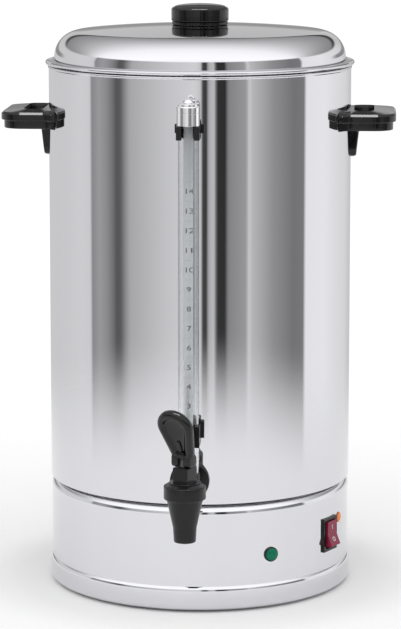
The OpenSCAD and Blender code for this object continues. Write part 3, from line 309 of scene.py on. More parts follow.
# Materials; a bump is its noise's scale, its strength, its depth and its noise's stretch
EVEN = (1, 1, 1)
METAL = {"Metallic": 1.0}
NOISE_LOW = 0.3
NOISE_HIGH = 0.7
LOOKS = {
    "polished_steel": dict(
        colour=(0.69, 0.69, 0.715), rough=(0.03, 0.06), tint=0.015, grain=40, stretch=(1, 1, 0.15),
        bumps=((5, 0.25, 0.4 * MM, (1, 1, 0.25)), (1500, 0.02, 0.05 * MM, (1, 1, 0.05))), sockets=METAL),
    "inner_steel": dict(
        colour=(0.72, 0.72, 0.73), rough=(0.40, 0.52), tint=0.05, grain=300, stretch=(1, 1, 0.1),
        bumps=((1800, 0.08, 0.05 * MM, (1, 1, 0.05)),), sockets={"Metallic": 0.6}),
    "plated_steel": dict(
        colour=(0.60, 0.60, 0.58), rough=(0.22, 0.34), tint=0.06, grain=400,
        bumps=((2500, 0.06, 0.05 * MM, EVEN),), sockets=METAL),
    "chrome": dict(
        colour=(0.86, 0.86, 0.88), rough=(0.03, 0.07), tint=0.02, grain=120,
        bumps=((900, 0.02, 0.05 * MM, EVEN),), sockets=METAL),
    "spring_steel": dict(
        colour=(0.50, 0.50, 0.52), rough=(0.20, 0.32), tint=0.08, grain=500,
        bumps=((3000, 0.1, 0.05 * MM, EVEN),), sockets=METAL),
    "black_plastic": dict(
        colour=(0.0065, 0.0065, 0.0075), rough=(0.20, 0.28), tint=0.18, grain=220,
        bumps=((2600, 0.06, 0.08 * MM, EVEN),), sockets={"Specular IOR Level": 0.3}),
    "black_rubber": dict(
        colour=(0.018, 0.018, 0.018), rough=(0.6, 0.75), tint=0.2, grain=400,
        bumps=((1800, 0.2, 0.1 * MM, EVEN),)),
    "silicone": dict(
        colour=(0.70, 0.64, 0.56), rough=(0.42, 0.55), tint=0.05, grain=200,
        bumps=((1500, 0.08, 0.08 * MM, EVEN),), sockets={"Subsurface Weight": 0.2}),
    "clear_plastic": dict(
        colour=(0.97, 0.98, 0.99), rough=(0.02, 0.05), tint=0.01, grain=80,
        bumps=((60, 0.03, 0.1 * MM, (1, 1, 0.2)),), sockets={"Transmission Weight": 1.0, "IOR": 1.46}),
    "sight_glass": dict(
        colour=(0.97, 0.98, 0.98), rough=(0.01, 0.03), tint=0.01, grain=80,
        sockets={"Transmission Weight": 1.0, "IOR": 1.14, "Coat Weight": 0.8, "Coat Roughness": 0.02}),
    "scale_strip": dict(
        colour=(0.88, 0.88, 0.89), rough=(0.35, 0.5), tint=0.04, grain=150,
        bumps=((1500, 0.05, 0.05 * MM, EVEN),)),
    "red_rocker": dict(
        colour=(0.21, 0.005, 0.034), rough=(0.16, 0.24), tint=0.1, grain=250,
        bumps=((2200, 0.03, 0.06 * MM, EVEN),), sockets={"Specular IOR Level": 0.35}),
    "green_lens": dict(
        colour=(0.001, 0.165, 0.085), rough=(0.08, 0.16), tint=0.12, grain=300,
        bumps=((900, 0.08, 0.1 * MM, EVEN),),
        sockets={"Transmission Weight": 0.1, "Specular IOR Level": 0.15}),
    "amber_lens": dict(
        colour=(0.85, 0.24, 0.06), rough=(0.08, 0.16), tint=0.08, grain=300,
        bumps=((900, 0.08, 0.1 * MM, EVEN),),
        sockets={"Transmission Weight": 0.1, "Specular IOR Level": 0.3}),
    "ivory_plastic": dict(
        colour=(0.74, 0.70, 0.60), rough=(0.38, 0.5), tint=0.05, grain=200,
        bumps=((1800, 0.08, 0.08 * MM, EVEN),)),
    "aluminium": dict(
        colour=(0.70, 0.71, 0.72), rough=(0.3, 0.45), tint=0.06, grain=200,
        bumps=((1200, 0.15, 0.1 * MM, EVEN),), sockets=METAL),
    "heater_sheath": dict(
        colour=(0.16, 0.13, 0.11), rough=(0.45, 0.6), tint=0.25, grain=250,
        bumps=((1200, 0.15, 0.1 * MM, EVEN),), sockets={"Metallic": 0.6}),
    "brass": dict(
        colour=(0.70, 0.50, 0.20), rough=(0.22, 0.36), tint=0.08, grain=300,
        bumps=((2400, 0.08, 0.05 * MM, EVEN),), sockets=METAL),
    "gloss_black": dict(
        colour=(0.005, 0.005, 0.0055), rough=(0.07, 0.12), tint=0.15, grain=150,
        bumps=((1200, 0.02, 0.05 * MM, EVEN),), sockets={"Specular IOR Level": 0.36}),
    "stem_metal": dict(
        colour=(0.13, 0.13, 0.14), rough=(0.3, 0.42), tint=0.1, grain=300,
        bumps=((2000, 0.05, 0.05 * MM, EVEN),), sockets=METAL),
    "mark_white": dict(colour=(0.80, 0.80, 0.80), rough=(0.4, 0.5), tint=0.04, grain=400),
    "mark_grey": dict(colour=(0.03, 0.03, 0.035), rough=(0.4, 0.5), tint=0.1, grain=400),
}


def surface(name, colour, rough, tint, grain, stretch=EVEN, bumps=(), sockets=None):
    """A principled material whose colour and roughness follow one noise, and whose bumps follow others."""
    made = bpy.data.materials.new(name)
    made.use_nodes = True
    tree = made.node_tree
    shader = tree.nodes["Principled BSDF"]
    cloud = noise(tree, grain, stretch)
    darker = tuple(c * (1 - tint) for c in colour) + (1,)
    lighter = tuple(min(1.0, c * (1 + tint)) for c in colour) + (1,)
    tree.links.new(mix_colours(tree, cloud, darker, lighter), shader.inputs["Base Color"])
    roughness = map_range(tree, cloud, NOISE_LOW, NOISE_HIGH, *rough, curve="LINEAR")
    tree.links.new(roughness, shader.inputs["Roughness"])
    normal = None
    for scale, strength, depth, pull in bumps:
        bump = add_node(tree, "ShaderNodeBump")
        bump.inputs["Strength"].default_value = strength
        bump.inputs["Distance"].default_value = depth
        tree.links.new(noise(tree, scale, pull), bump.inputs["Height"])
        if normal:
            tree.links.new(normal, bump.inputs["Normal"])
        normal = bump.outputs["Normal"]
    if normal:
        tree.links.new(normal, shader.inputs["Normal"])
    for socket, value in (sockets or {}).items():
        shader.inputs[socket].default_value = value
    return made


MATERIALS = {name: surface(name, **look) for name, look in LOOKS.items()}

# Edges of the CAD nodes: the width of their bevel in mm, where nought leaves them sharp
EDGE_MM = 0.2
OTHER_EDGES_MM = {
    "tap_bonnet": 0.5, "gauge_holder": 0.7, "gauge_clip": 0.7, "switch_housing": 0.6, "switch_rocker": 0.5,
    "mains_inlet": 0.5, "terminal_block": 0.5, "filter_basket": 0, "basket_cover": 0, "tap_spring": 0,
}
WELD_GAP = 0.002 * MM
BEVEL_SEGMENTS = 3
BEVEL_ANGLE = math.radians(40)
NORMAL_WEIGHT = 60
DARK_METAL_NODES = ("tap_stem", "lever_pin")


def soften_edges(obj, width):
    weld = obj.modifiers.new("weld", "WELD")
    weld.merge_threshold = WELD_GAP
    bevel = obj.modifiers.new("bevel", "BEVEL")
    bevel.width = width
    bevel.segments = BEVEL_SEGMENTS
    bevel.limit_method = "ANGLE"
    bevel.angle_limit = BEVEL_ANGLE
    bevel.use_clamp_overlap = True
    shade = obj.modifiers.new("shade", "WEIGHTED_NORMAL")
    shade.weight = NORMAL_WEIGHT


def dress_cad_nodes():
    """Gives each CAD node its slot's material, and softens its edges."""
    for row in frame["record"]["subparts"]:
        node = row["node"]
        obj = NODES[node]
        look = "stem_metal" if node in DARK_METAL_NODES else row["material_slot"]
        obj.data.materials.clear()
        obj.data.materials.append(MATERIALS[look])
        width = OTHER_EDGES_MM.get(node, EDGE_MM)
        if width:
            soften_edges(obj, width * MM)
        for polygon in obj.data.polygons:
            polygon.use_smooth = True


# Steel shells
TANK_EDGE = 0.3 * MM
RIM_BEAD_ARC = (-50, 215)


def make_tank():
    """The tank's wall, with a bead rolled outwards round its rim."""
    bead_z = RIM_Z - RIM_BEAD_R
    bead = (TANK_R + RIM_PROUD - RIM_BEAD_R, bead_z)
    inner = TANK_R - SHEET
    meeting = math.acos((TANK_R - bead[0]) / RIM_BEAD_R)
    bm = bmesh.new()
    revolve(bm, [
        (inner, BASE_Z), (TANK_R - TANK_EDGE, BASE_Z), (TANK_R, BASE_Z + TANK_EDGE),
        (TANK_R, bead_z - RIM_BEAD_R * math.sin(meeting)),
        *arc(bead, RIM_BEAD_R, RIM_BEAD_R, *RIM_BEAD_ARC, 24), (inner, bead_z - RIM_BEAD_R),
    ], SHELL_STEPS)
    obj = piece(bm, "tank_wall", MATERIALS["polished_steel"], "urn", ["tank"])
    line_inside(obj, lambda radius, z: radius < inner + TANK_EDGE and z < bead_z - RIM_BEAD_R)


SKIRT_INSET = 0.5 * MM
SKIRT_R = TANK_R - SKIRT_INSET
SKIRT_SHOULDER_R = 10 * MM
SKIRT_SHOULDER_END = 51
SKIRT_GROOVE = 9 * MM
# Openings in the skirt: the node that fills each, how far the node laps over its ends, its half width
SKIRT_OPENINGS = (("switch_housing", 1.0 * MM, 9.5 * MM), ("mains_inlet", 1.2 * MM, 14.5 * MM))


def skirt_holes():
    """Each opening as its angle, its half angle, and the heights of its lower and upper ends."""
    holes = []
    for node, lap, half_width in SKIRT_OPENINGS:
        low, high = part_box(node)
        middle = (low + high) / 2
        angle = math.atan2(middle.x, -middle.y)
        holes.append((angle, half_width / SKIRT_R, low.z + lap, high.z - lap))
    return holes


def make_skirt():
    """The skirt as one sheet with openings behind the switch and the inlet, thickened inwards."""
    low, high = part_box("base_skirt")
    shoulder_z = BASE_Z - SKIRT_SHOULDER_R
    holes = skirt_holes()
    turns = [2 * math.pi * i / SHELL_STEPS for i in range(SHELL_STEPS)]
    for turn, half, _, _ in holes:
        turns += [(turn - half) % (2 * math.pi), (turn + half) % (2 * math.pi)]
    turns.sort()
    heights = sorted({low.z, shoulder_z, *(z for hole in holes for z in hole[2:])})
    profile = [(SKIRT_R, z) for z in heights]
    profile += arc((SKIRT_R - SKIRT_SHOULDER_R, shoulder_z), SKIRT_SHOULDER_R, SKIRT_SHOULDER_R,
                   0, SKIRT_SHOULDER_END, 20)[1:]
    top_r, top_z = profile[-1]
    profile += [(top_r - SKIRT_GROOVE, top_z), (top_r - SKIRT_GROOVE, high.z)]
    bm = bmesh.new()
    rings = [[bm.verts.new((r * math.sin(t), -r * math.cos(t), z)) for t in turns] for r, z in profile]
    for lower, upper, (_, z0), (_, z1) in zip(rings, rings[1:], profile, profile[1:]):
        for i, start in enumerate(turns):
            j = (i + 1) % len(turns)
            centre = start + ((turns[j] - start) % (2 * math.pi)) / 2
            cut = any(
                abs((centre - turn + math.pi) % (2 * math.pi) - math.pi) < half and a <= z0 and z1 <= b
                for turn, half, a, b in holes
            )
            if not cut:
                bm.faces.new((lower[i], lower[j], upper[j], upper[i]))
    obj = piece(bm, "skirt_wall", MATERIALS["polished_steel"], "urn", ["base_skirt"])
    wall = obj.modifiers.new("sheet", "SOLIDIFY")
    wall.thickness = SHEET
    wall.offset = -1


PLINTH_EDGE_R = 5 * MM
PLINTH_SHOULDER_R = 8 * MM
PLINTH_FLANGE_W = 33 * MM
PLINTH_LIP_H = 2 * MM
PLINTH_LIP_GAP = 0.05 * MM


def make_plinth():
    """The band round the foot, with a round lower edge, a shoulder and a flange underneath."""
    low, high = PLINTH_LOW.z, PLINTH_HIGH.z
    radius = PLINTH_HIGH.x
    edge = (radius - PLINTH_EDGE_R, low + PLINTH_EDGE_R)
    lip = SKIRT_R + PLINTH_LIP_GAP
    shoulder_end = math.acos(1 - (radius - lip) / PLINTH_SHOULDER_R)
    shoulder_z = high - PLINTH_SHOULDER_R * math.sin(shoulder_end)
    flange_r = radius - PLINTH_FLANGE_W
    bm = bmesh.new()
    revolve(bm, [
        (flange_r, low), *arc(edge, PLINTH_EDGE_R, PLINTH_EDGE_R, -90, 0, 16),
        *arc((radius - PLINTH_SHOULDER_R, shoulder_z), PLINTH_SHOULDER_R, PLINTH_SHOULDER_R,
             0, math.degrees(shoulder_end), 16),
        (lip, high - PLINTH_LIP_H), (radius - SHEET, shoulder_z),
        *arc(edge, PLINTH_EDGE_R - SHEET, PLINTH_EDGE_R - SHEET, 0, -90, 12), (flange_r, low + SHEET),
    ], SHELL_STEPS)
    piece(bm, "plinth_band", MATERIALS["polished_steel"], "urn", ["plinth"])


LID_WALL_GAP = 4.2 * MM
LID_WALL_R = TANK_R - SHEET - LID_WALL_GAP
LID_SHOULDER_R = 24 * MM
LID_SLOPE = math.radians(5.5)
LID_CROWN_START = 0.95
LID_BEAD_R = 1.8 * MM
LID_BEAD_SIDES = 24
RIM_GAP = 0.6 * MM


def lid_shell(inset):
    """Half section of one face of the lid, from its lower edge to the middle."""
    edge = LID_WALL_R - LID_SHOULDER_R * (1 - math.sin(LID_SLOPE))
    crown_r = edge / math.sin(LID_SLOPE)
    crown_rise = crown_r * (1 - math.cos(LID_SLOPE))
    shoulder_z = LID_HIGH.z - crown_rise - LID_SHOULDER_R * math.cos(LID_SLOPE)
    slope = math.degrees(LID_SLOPE)
    radius = LID_SHOULDER_R - inset
    top_r = crown_r - inset
    return [
        (LID_WALL_R - inset, LID_LOW.z),
        *arc((LID_WALL_R - LID_SHOULDER_R, shoulder_z), radius, radius, 0, 90 - slope, 32),
        *arc((0, LID_HIGH.z - crown_r), top_r, top_r, 90 - slope * LID_CROWN_START, 90, 20),
    ]


def make_lid():
    """The lid's dome, and the bead round it on a narrow flange."""
    bead_r = LID_HIGH.x - LID_BEAD_R
    bead_z = RIM_Z + RIM_GAP + LID_BEAD_R
    inner = LID_WALL_R - SHEET / 2
    flange = [(inner, bead_z), (bead_r, bead_z), (bead_r, bead_z + SHEET), (inner, bead_z + SHEET)]
    bm = bmesh.new()
    revolve(bm, lid_shell(0) + lid_shell(SHEET)[::-1], SHELL_STEPS)
    revolve(bm, circle((bead_r, bead_z), LID_BEAD_R, LID_BEAD_SIDES), SHELL_STEPS)
    revolve(bm, flange, SHELL_STEPS)
    piece(bm, "lid_dome", MATERIALS["polished_steel"], "lid", ["lid"])


KNOB_SUNK = 0.3 * MM
KNOB_GROOVE = 1.2 * MM
KNOB_FOOT_H = 3.4 * MM
KNOB_EDGE_R = 2.6 * MM
KNOB_CROWN = 3.2 * MM


def make_knob():
    """A round foot, a groove, and a body with a crowned top."""
    low, high = LID_HIGH.z - KNOB_SUNK, KNOB_HIGH.z
    radius = KNOB_HIGH.x
    groove = KNOB_GROOVE
    foot_r = radius - 2 * groove
    body_z = low + KNOB_FOOT_H
    edge = (radius - KNOB_EDGE_R, high - KNOB_CROWN - KNOB_EDGE_R)
    bm = bmesh.new()
    revolve(bm, [
        (0, low), (foot_r, low), *arc((foot_r, low + groove), 1.5 * groove, groove, -90, 0, 8),
        (radius - groove / 2, body_z - groove / 2), (radius - groove, body_z),
        (radius - groove * 0.2, body_z + groove * 0.6), (radius, body_z + groove * 1.4),
        *arc(edge, KNOB_EDGE_R, KNOB_EDGE_R, 0, 76, 12),
        *arc((0, high - KNOB_CROWN), edge[0], KNOB_CROWN, 12, 90, 20),
    ], FINE_STEPS)
    piece(bm, "knob_cap", MATERIALS["gloss_black"], "lid", ["lid_knob"], sharp=25)


# Handles
HANDLE_T = 17.2 * MM
HANDLE_HALF_W = 49 * MM
HANDLE_CORNER_R = 22 * MM
HANDLE_ROOT_HALF_W = 54 * MM
HANDLE_ROOT_T = 4 * MM
HANDLE_ROOT_R = 1.5 * MM
HANDLE_WAIST_L = 6 * MM
HANDLE_WAIST_R = 8 * MM
HANDLE_END_SHARE = 0.15
FINGER_HALF_L = 29 * MM
FINGER_W = 16 * MM
FINGER_BACK = 4.2 * MM
FINGER_R = 5 * MM
# The loop's wall from below: how far in its outside lies, then its height and its gap's inset in mm
HANDLE_STEP = 2.6 * MM
HANDLE_EDGE = 13.3
HANDLE_SIDE = 15.2
HANDLE_LEVELS = (
    (HANDLE_STEP + 0.9 * MM, 0, 0.9), (HANDLE_STEP + 0.25 * MM, 0.25, 0.3), (HANDLE_STEP, 0.9, 0),
    (HANDLE_STEP, 7.0, 0), (HANDLE_STEP - 0.3 * MM, 7.5, 0), (0.3 * MM, 7.8, 0), (0, 8.3, 0),
    (0, HANDLE_EDGE, 0), (1.7 * MM, HANDLE_SIDE, 1.2),
)


def handle_rim():
    """The loop's outer outline and the share of an inset that each point takes."""
    seat = TANK_R + GAP
    reach = HANDLE_HIGH.x
    turn = math.degrees(math.asin(HANDLE_ROOT_HALF_W / seat))
    end_x = seat * math.cos(math.radians(turn))
    root_x = end_x + HANDLE_ROOT_T
    waist_x = root_x + HANDLE_WAIST_L
    free = fillet([
        (end_x, -HANDLE_ROOT_HALF_W),
        (root_x, -HANDLE_ROOT_HALF_W, HANDLE_ROOT_R), (waist_x, -HANDLE_HALF_W, HANDLE_WAIST_R),
        (reach, -HANDLE_HALF_W, HANDLE_CORNER_R), (reach, HANDLE_HALF_W, HANDLE_CORNER_R),
        (waist_x, HANDLE_HALF_W, HANDLE_WAIST_R), (root_x, HANDLE_ROOT_HALF_W, HANDLE_ROOT_R),
        (end_x, HANDLE_ROOT_HALF_W),
    ], steps=10)
    root = arc((0, 0), seat, seat, turn, -turn, 28)[1:-1]
    free_weights = [HANDLE_END_SHARE] + [1] * (len(free) - 2) + [HANDLE_END_SHARE]
    return free + root, free_weights + [0] * len(root)


def finger_rim():
    """The finger gap's outline, turned so that its inside is outside the plastic."""
    near = TANK_R + FINGER_BACK
    far = near + FINGER_W
    return fillet([
        (near, -FINGER_HALF_L, FINGER_R), (near, FINGER_HALF_L, FINGER_R),
        (far, FINGER_HALF_L, FINGER_R), (far, -FINGER_HALF_L, FINGER_R),
    ], steps=8)


TONGUE_HALF_W = 27 * MM
TONGUE_TIP_R = 8 * MM
TONGUE_ROOT_T = 8 * MM
TONGUE_TIP_T = 4.8 * MM
TONGUE_FLARE_START = 0.2
TONGUE_EDGE_SHARE = 0.25
TONGUE_EDGE_H = 2.6 * MM
TONGUE_STEPS = 24
TONGUE_FLATNESS = 8
TONGUE_ROUNDNESS = 0.25
# Heights of the tongue's sections above its tip in mm, closer together where the tip is round
TONGUE_LEVELS = (0.02, 0.12, 0.35, 0.7, 1.2, 2, 3, 4.5, 6.5, 9, 12, 16, 20, 24, 27, 28.5)


def tongue_loops(base_z):
    """Level sections of the tongue, from its tip up into the handle."""
    tip_z = HANDLE_LOW.z
    inner = TANK_R + GAP
    loops = []
    for level in TONGUE_LEVELS:
        rise = level * MM
        share = min(1.0, rise / (base_z - tip_z))
        flare = max(0, share - TONGUE_FLARE_START) / (1 - TONGUE_FLARE_START)
        straight = TONGUE_TIP_R + (TONGUE_HALF_W - TONGUE_TIP_R) * flare
        round_end = math.sqrt(max(0.0, TONGUE_TIP_R ** 2 - max(0.0, TONGUE_TIP_R - rise) ** 2))
        half = min(straight, round_end)
        thick = TONGUE_TIP_T + (TONGUE_ROOT_T - TONGUE_TIP_T) * share
        thick *= min(1.0, TONGUE_EDGE_SHARE + math.sqrt(rise / TONGUE_EDGE_H))
        front, back = [], []
        for i in range(TONGUE_STEPS + 1):
            s = 2 * i / TONGUE_STEPS - 1
            turn = s * half / TANK_R
            # The front is nearly flat across, with round sides
            out = inner + thick * (1 - abs(s) ** TONGUE_FLATNESS) ** TONGUE_ROUNDNESS
            front.append((out * math.cos(turn), out * math.sin(turn), tip_z + rise))
            back.append((inner * math.cos(turn), inner * math.sin(turn), tip_z + rise))
        loops.append(front + back[-2:0:-1])
    return loops


def make_handle(name, node, side):
    """A loop with a finger gap and a crowned top, and a tongue below it on the tank's wall."""
    base_z = HANDLE_HIGH.z - HANDLE_T
    outline, weights = handle_rim()
    gap = finger_rim()
    crown = HANDLE_T - HANDLE_SIDE * MM
    bm = bmesh.new()
    outer, inner = [], []
    for inset, rise, gap_inset in HANDLE_LEVELS:
        share = max(0, (rise - HANDLE_EDGE) / (HANDLE_SIDE - HANDLE_EDGE))
        z = base_z + rise * MM
        outer.append([
            bm.verts.new((p.x, p.y, z + crown * share * (1 - weight)))
            for p, weight in zip(shifted(outline, weights, inset), weights)
        ])
        inner.append([
            bm.verts.new((p.x, p.y, z + crown * share))
            for p in shifted(gap, [1] * len(gap), gap_inset * MM)
        ])
    for rings in (outer, inner):
        for lower, upper in zip(rings, rings[1:]):
            join_rings(bm, lower, upper)
    for level in (0, -1):
        edges = ring_edges(bm, outer[level]) + ring_edges(bm, inner[level])
        bmesh.ops.triangle_fill(bm, edges=edges, use_beauty=True)
    loft(bm, tongue_loops(base_z))
    if side < 0:
        bmesh.ops.rotate(bm, verts=bm.verts, cent=(0, 0, 0), matrix=Matrix.Rotation(math.pi, 3, "Z"))
    piece(bm, name, MATERIALS["gloss_black"], "urn", [node], sharp=30)


# Gauge
GAUGE_Y = (GUARD_LOW.y + GUARD_HIGH.y) / 2
GUARD_T = 1.5 * MM
TUBE_EDGE = 0.3 * MM
CAP_DEPTH = 11 * MM
CAP_H = 17.5 * MM
CAP_EDGE = 0.4 * MM
CAP_GROOVE = 0.5 * MM
CAP_SHOULDER_R = 1.3 * MM
TIER_INSET = 1.6 * MM
TIER_H = 1.8 * MM
TIER_EDGE_R = 0.5 * MM
NIPPLE_R = 4.6 * MM
NIPPLE_FOOT = 0.8 * MM
NIPPLE_H = 4.8 * MM


def make_gauge_cap():
    """The cap over the guard's upper end: a grooved wall, a tier and a nipple on top."""
    radius = CAP_HIGH.x
    low = CAP_LOW.z
    top = low + CAP_H
    groove_z = low + CAP_DEPTH + CAP_GROOVE
    tier_r = radius - TIER_INSET
    tier_z = top + TIER_H
    inside = GUARD_HIGH.x + GAP
    bm = bmesh.new()
    revolve(bm, [
        (inside, low), (radius - CAP_EDGE, low), (radius, low + CAP_EDGE), (radius, groove_z - CAP_GROOVE),
        (radius - CAP_GROOVE, groove_z), (radius, groove_z + CAP_GROOVE),
        *arc((radius - CAP_SHOULDER_R, top - CAP_SHOULDER_R), CAP_SHOULDER_R, CAP_SHOULDER_R, 0, 90, 8),
        (tier_r, top),
        *arc((tier_r - TIER_EDGE_R, tier_z - TIER_EDGE_R), TIER_EDGE_R, TIER_EDGE_R, 0, 90, 5),
        (NIPPLE_R + NIPPLE_FOOT, tier_z), *arc((0, tier_z), NIPPLE_R, NIPPLE_H, 8, 90, 14),
        (0, low + CAP_DEPTH), (inside, low + CAP_DEPTH),
    ], ROUND_STEPS, Matrix.Translation((0, GAUGE_Y, 0)))
    piece(bm, "gauge_cap_shell", MATERIALS["chrome"], "urn", ["gauge_cap"], sharp=28)


def make_gauge_tube(name, node, slot, bore):
    """An upright tube with soft ends, or a full column where the bore is nought."""
    low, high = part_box(node)
    radius = high.x
    bm = bmesh.new()
    revolve(bm, [
        (bore, low.z), (radius - TUBE_EDGE, low.z), (radius, low.z + TUBE_EDGE),
        (radius, high.z - TUBE_EDGE), (radius - TUBE_EDGE, high.z), (bore, high.z),
    ], ROUND_STEPS, Matrix.Translation((0, GAUGE_Y, 0)), closed=bore > 0)
    piece(bm, name, MATERIALS[slot], "urn", [node])


SCALE_FIRST_Z = 0.158
SCALE_STEP = 17.4 * MM
SCALE_COUNT = 14
SCALE_EDGE = 0.12 * MM
DIGIT_H = 4.6 * MM
DIGIT_SHARE_OF_SIZE = 0.7
MARK_T = 0.03 * MM
MARK_LIFT = 0.04 * MM
TICK_SIZE = (4.4 * MM, 0.05 * MM, 0.7 * MM)


def text_piece(name, words, height, place, material, body):
    """Plain figures as a flat mesh, centred on a place whose local Z points at the reader."""
    curve = bpy.data.curves.new(name, "FONT")
    curve.body = words
    curve.size = height / DIGIT_SHARE_OF_SIZE
    curve.align_x = "CENTER"
    curve.align_y = "CENTER"
    curve.extrude = MARK_T
    curve.resolution_u = 3
    maker = add_object(name + ".words", curve)
    bpy.context.view_layer.update()
    mesh = bpy.data.meshes.new_from_object(maker.evaluated_get(bpy.context.evaluated_depsgraph_get()))
    bpy.data.objects.remove(maker)
    bpy.data.curves.remove(curve)
    mesh.transform(place)
    mesh.materials.clear()
    mesh.materials.append(material)
    mesh.name = name
    obj = add_object(name, mesh)
    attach(obj, body)


def make_scale():
    """The strip behind the sight tube, with ticks and plain figures."""
    size = SCALE_HIGH - SCALE_LOW
    centre = (SCALE_LOW + SCALE_HIGH) / 2
    bm = bmesh.new()
    bmesh.ops.create_cube(bm, size=1, matrix=Matrix.Translation(centre) @ Matrix.Diagonal((*size, 1)))
    bmesh.ops.bevel(bm, geom=bm.edges[:], offset=SCALE_EDGE, segments=2, affect="EDGES")
    piece(bm, "scale_strip", MATERIALS["scale_strip"], "urn", ["gauge_scale"])
    face_y = SCALE_LOW.y - MARK_LIFT
    ticks = bmesh.new()
    for i in range(SCALE_COUNT):
        z = SCALE_FIRST_Z + SCALE_STEP * i
        text_piece(f"scale_figure_{i + 1}", str(i + 1), DIGIT_H, towards_front(face_y, z),
                   MATERIALS["mark_grey"], "urn")
        place = Matrix.Translation((0, face_y, z + SCALE_STEP / 2))
        bmesh.ops.create_cube(ticks, size=1, matrix=place @ Matrix.Diagonal((*TICK_SIZE, 1)))
    piece(ticks, "scale_ticks", MATERIALS["mark_white"], "urn")


# Tap body
TAP_Y = -0.205
TAP_SEAL_T = 2.5 * MM
COLLAR_R = 18.45 * MM
COLLAR_H = 13.8 * MM
COLLAR_RISE = 12.3 * MM
COLLAR_SLOPE_W = 4 * MM
COLLAR_SLOPE_H = 2.2 * MM
CONE_R = 16 * MM
CONE_L = 25.3 * MM
NOZZLE_TOP_R = 10.4 * MM
NOZZLE_R = 9.6 * MM
SPOUT_BORE_R = 7 * MM
SEAT_BORE_R = 5.5 * MM
SEAT_DROP = 6.7 * MM
SEAT_T = 6 * MM
CHAMBER_R = 12.5 * MM
SHANK_Z = 0.1227
SHANK_R = 9 * MM
SHANK_BORE_R = 5 * MM
SHANK_INSIDE_L = 18 * MM
SHANK_LAP = 2 * MM
FLANGE_R = 17.65 * MM
FLANGE_T = 4.5 * MM
FLANGE_NECK_W = 1.5 * MM
FLANGE_NECK_L = 3 * MM
BOSS_WALL = 1 * MM
BOSS_BORE_GAP = 2.4 * MM
BOSS_RISE = 2 * MM
BOSS_TOP_GAP = 0.05 * MM
# Radii of the tap's edges
FINE_R = 0.5 * MM
EDGE_R = 0.8 * MM
ROUND_R = 1.2 * MM
CONE_FOOT_R = 3 * MM
SHANK_END_R = 0.6 * MM
FLANGE_NECK_R = 1.5 * MM
BOSS_OUTER_R = 0.6 * MM
BOSS_INNER_R = 0.4 * MM


def add_spout(bm):
    """The collar, the cone and the nozzle, with the chamber and the valve's mouth inside."""
    collar_top = SHANK_Z + COLLAR_RISE
    collar_z = collar_top - COLLAR_H
    seat_z = SHANK_Z - SEAT_DROP
    seat_low = seat_z - SEAT_T
    revolve(bm, fillet([
        (SPOUT_BORE_R, TAP_LOW.z, FINE_R), (NOZZLE_R, TAP_LOW.z, EDGE_R),
        (NOZZLE_TOP_R, collar_z - CONE_L, CONE_FOOT_R), (CONE_R, collar_z, ROUND_R),
        (COLLAR_R, collar_z, ROUND_R), (COLLAR_R, collar_top - COLLAR_SLOPE_H, EDGE_R),
        (COLLAR_R - COLLAR_SLOPE_W, collar_top, FINE_R), (CHAMBER_R, collar_top), (CHAMBER_R, seat_z),
        (SEAT_BORE_R, seat_z), (SEAT_BORE_R, seat_low), (SPOUT_BORE_R, seat_low),
    ]), FINE_STEPS, Matrix.Translation((0, TAP_Y, 0)))


def add_shank(bm):
    """The shank through the tank's wall, and the flange that lies on the seal."""
    wall_y = -TANK_R - TAP_SEAL_T
    front = -(TAP_Y + CHAMBER_R) + wall_y + SHANK_LAP
    revolve(bm, fillet([
        (SHANK_BORE_R, -SHANK_INSIDE_L), (SHANK_R, -SHANK_INSIDE_L, SHANK_END_R), (SHANK_R, 0),
        (FLANGE_R, 0, EDGE_R), (FLANGE_R, FLANGE_T, ROUND_R),
        (SHANK_R + FLANGE_NECK_W, FLANGE_T, FLANGE_NECK_R),
        (SHANK_R, FLANGE_T + FLANGE_NECK_L, FLANGE_NECK_R),
        (SHANK_R, front), (SHANK_BORE_R, front),
    ]), ROUND_STEPS, towards_front(wall_y, SHANK_Z))


def add_gauge_boss(bm):
    """The boss on the shank that the gauge stands in."""
    bore = SIGHT_HIGH.x + BOSS_BORE_GAP
    radius = GUARD_HIGH.x + BOSS_WALL
    low = SHANK_Z + BOSS_RISE
    top = GUARD_LOW.z - BOSS_TOP_GAP
    revolve(bm, fillet([
        (bore, low), (radius, low), (radius, top, BOSS_OUTER_R), (bore, top, BOSS_INNER_R),
    ]), ROUND_STEPS, Matrix.Translation((0, GAUGE_Y, 0)))


def make_tap_body():
    bm = bmesh.new()
    add_spout(bm)
    add_shank(bm)
    add_gauge_boss(bm)
    piece(bm, "tap_body_shell", MATERIALS["black_plastic"], "urn", ["tap_body"], sharp=30)


# Valve spring
SPRING_WIRE_R = 0.6 * MM
SPRING_WIRE_SIDES = 12
SPRING_TURNS = 6
SPRING_STEPS = 36


def make_spring():
    """The valve's spring as a coil of wire at one length; on the tap it shortens as the stem lifts."""
    low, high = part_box("tap_spring")
    middle = (low + high) / 2
    coil_r = (high.x - low.x) / 2 - SPRING_WIRE_R
    rise = high.z - low.z - 2 * SPRING_WIRE_R
    count = SPRING_TURNS * SPRING_STEPS
    loops = []
    for i in range(count + 1):
        turn = 2 * math.pi * i / SPRING_STEPS
        z = low.z + SPRING_WIRE_R + rise * i / count
        section = circle((coil_r, z), SPRING_WIRE_R, SPRING_WIRE_SIDES)
        loops.append([
            (middle.x + r * math.cos(turn), middle.y + r * math.sin(turn), h) for r, h in section
        ])
    bm = bmesh.new()
    loft(bm, loops)
    spring = piece(bm, "valve_spring", MATERIALS["spring_steel"], "urn", ["tap_spring"])
    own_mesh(spring)


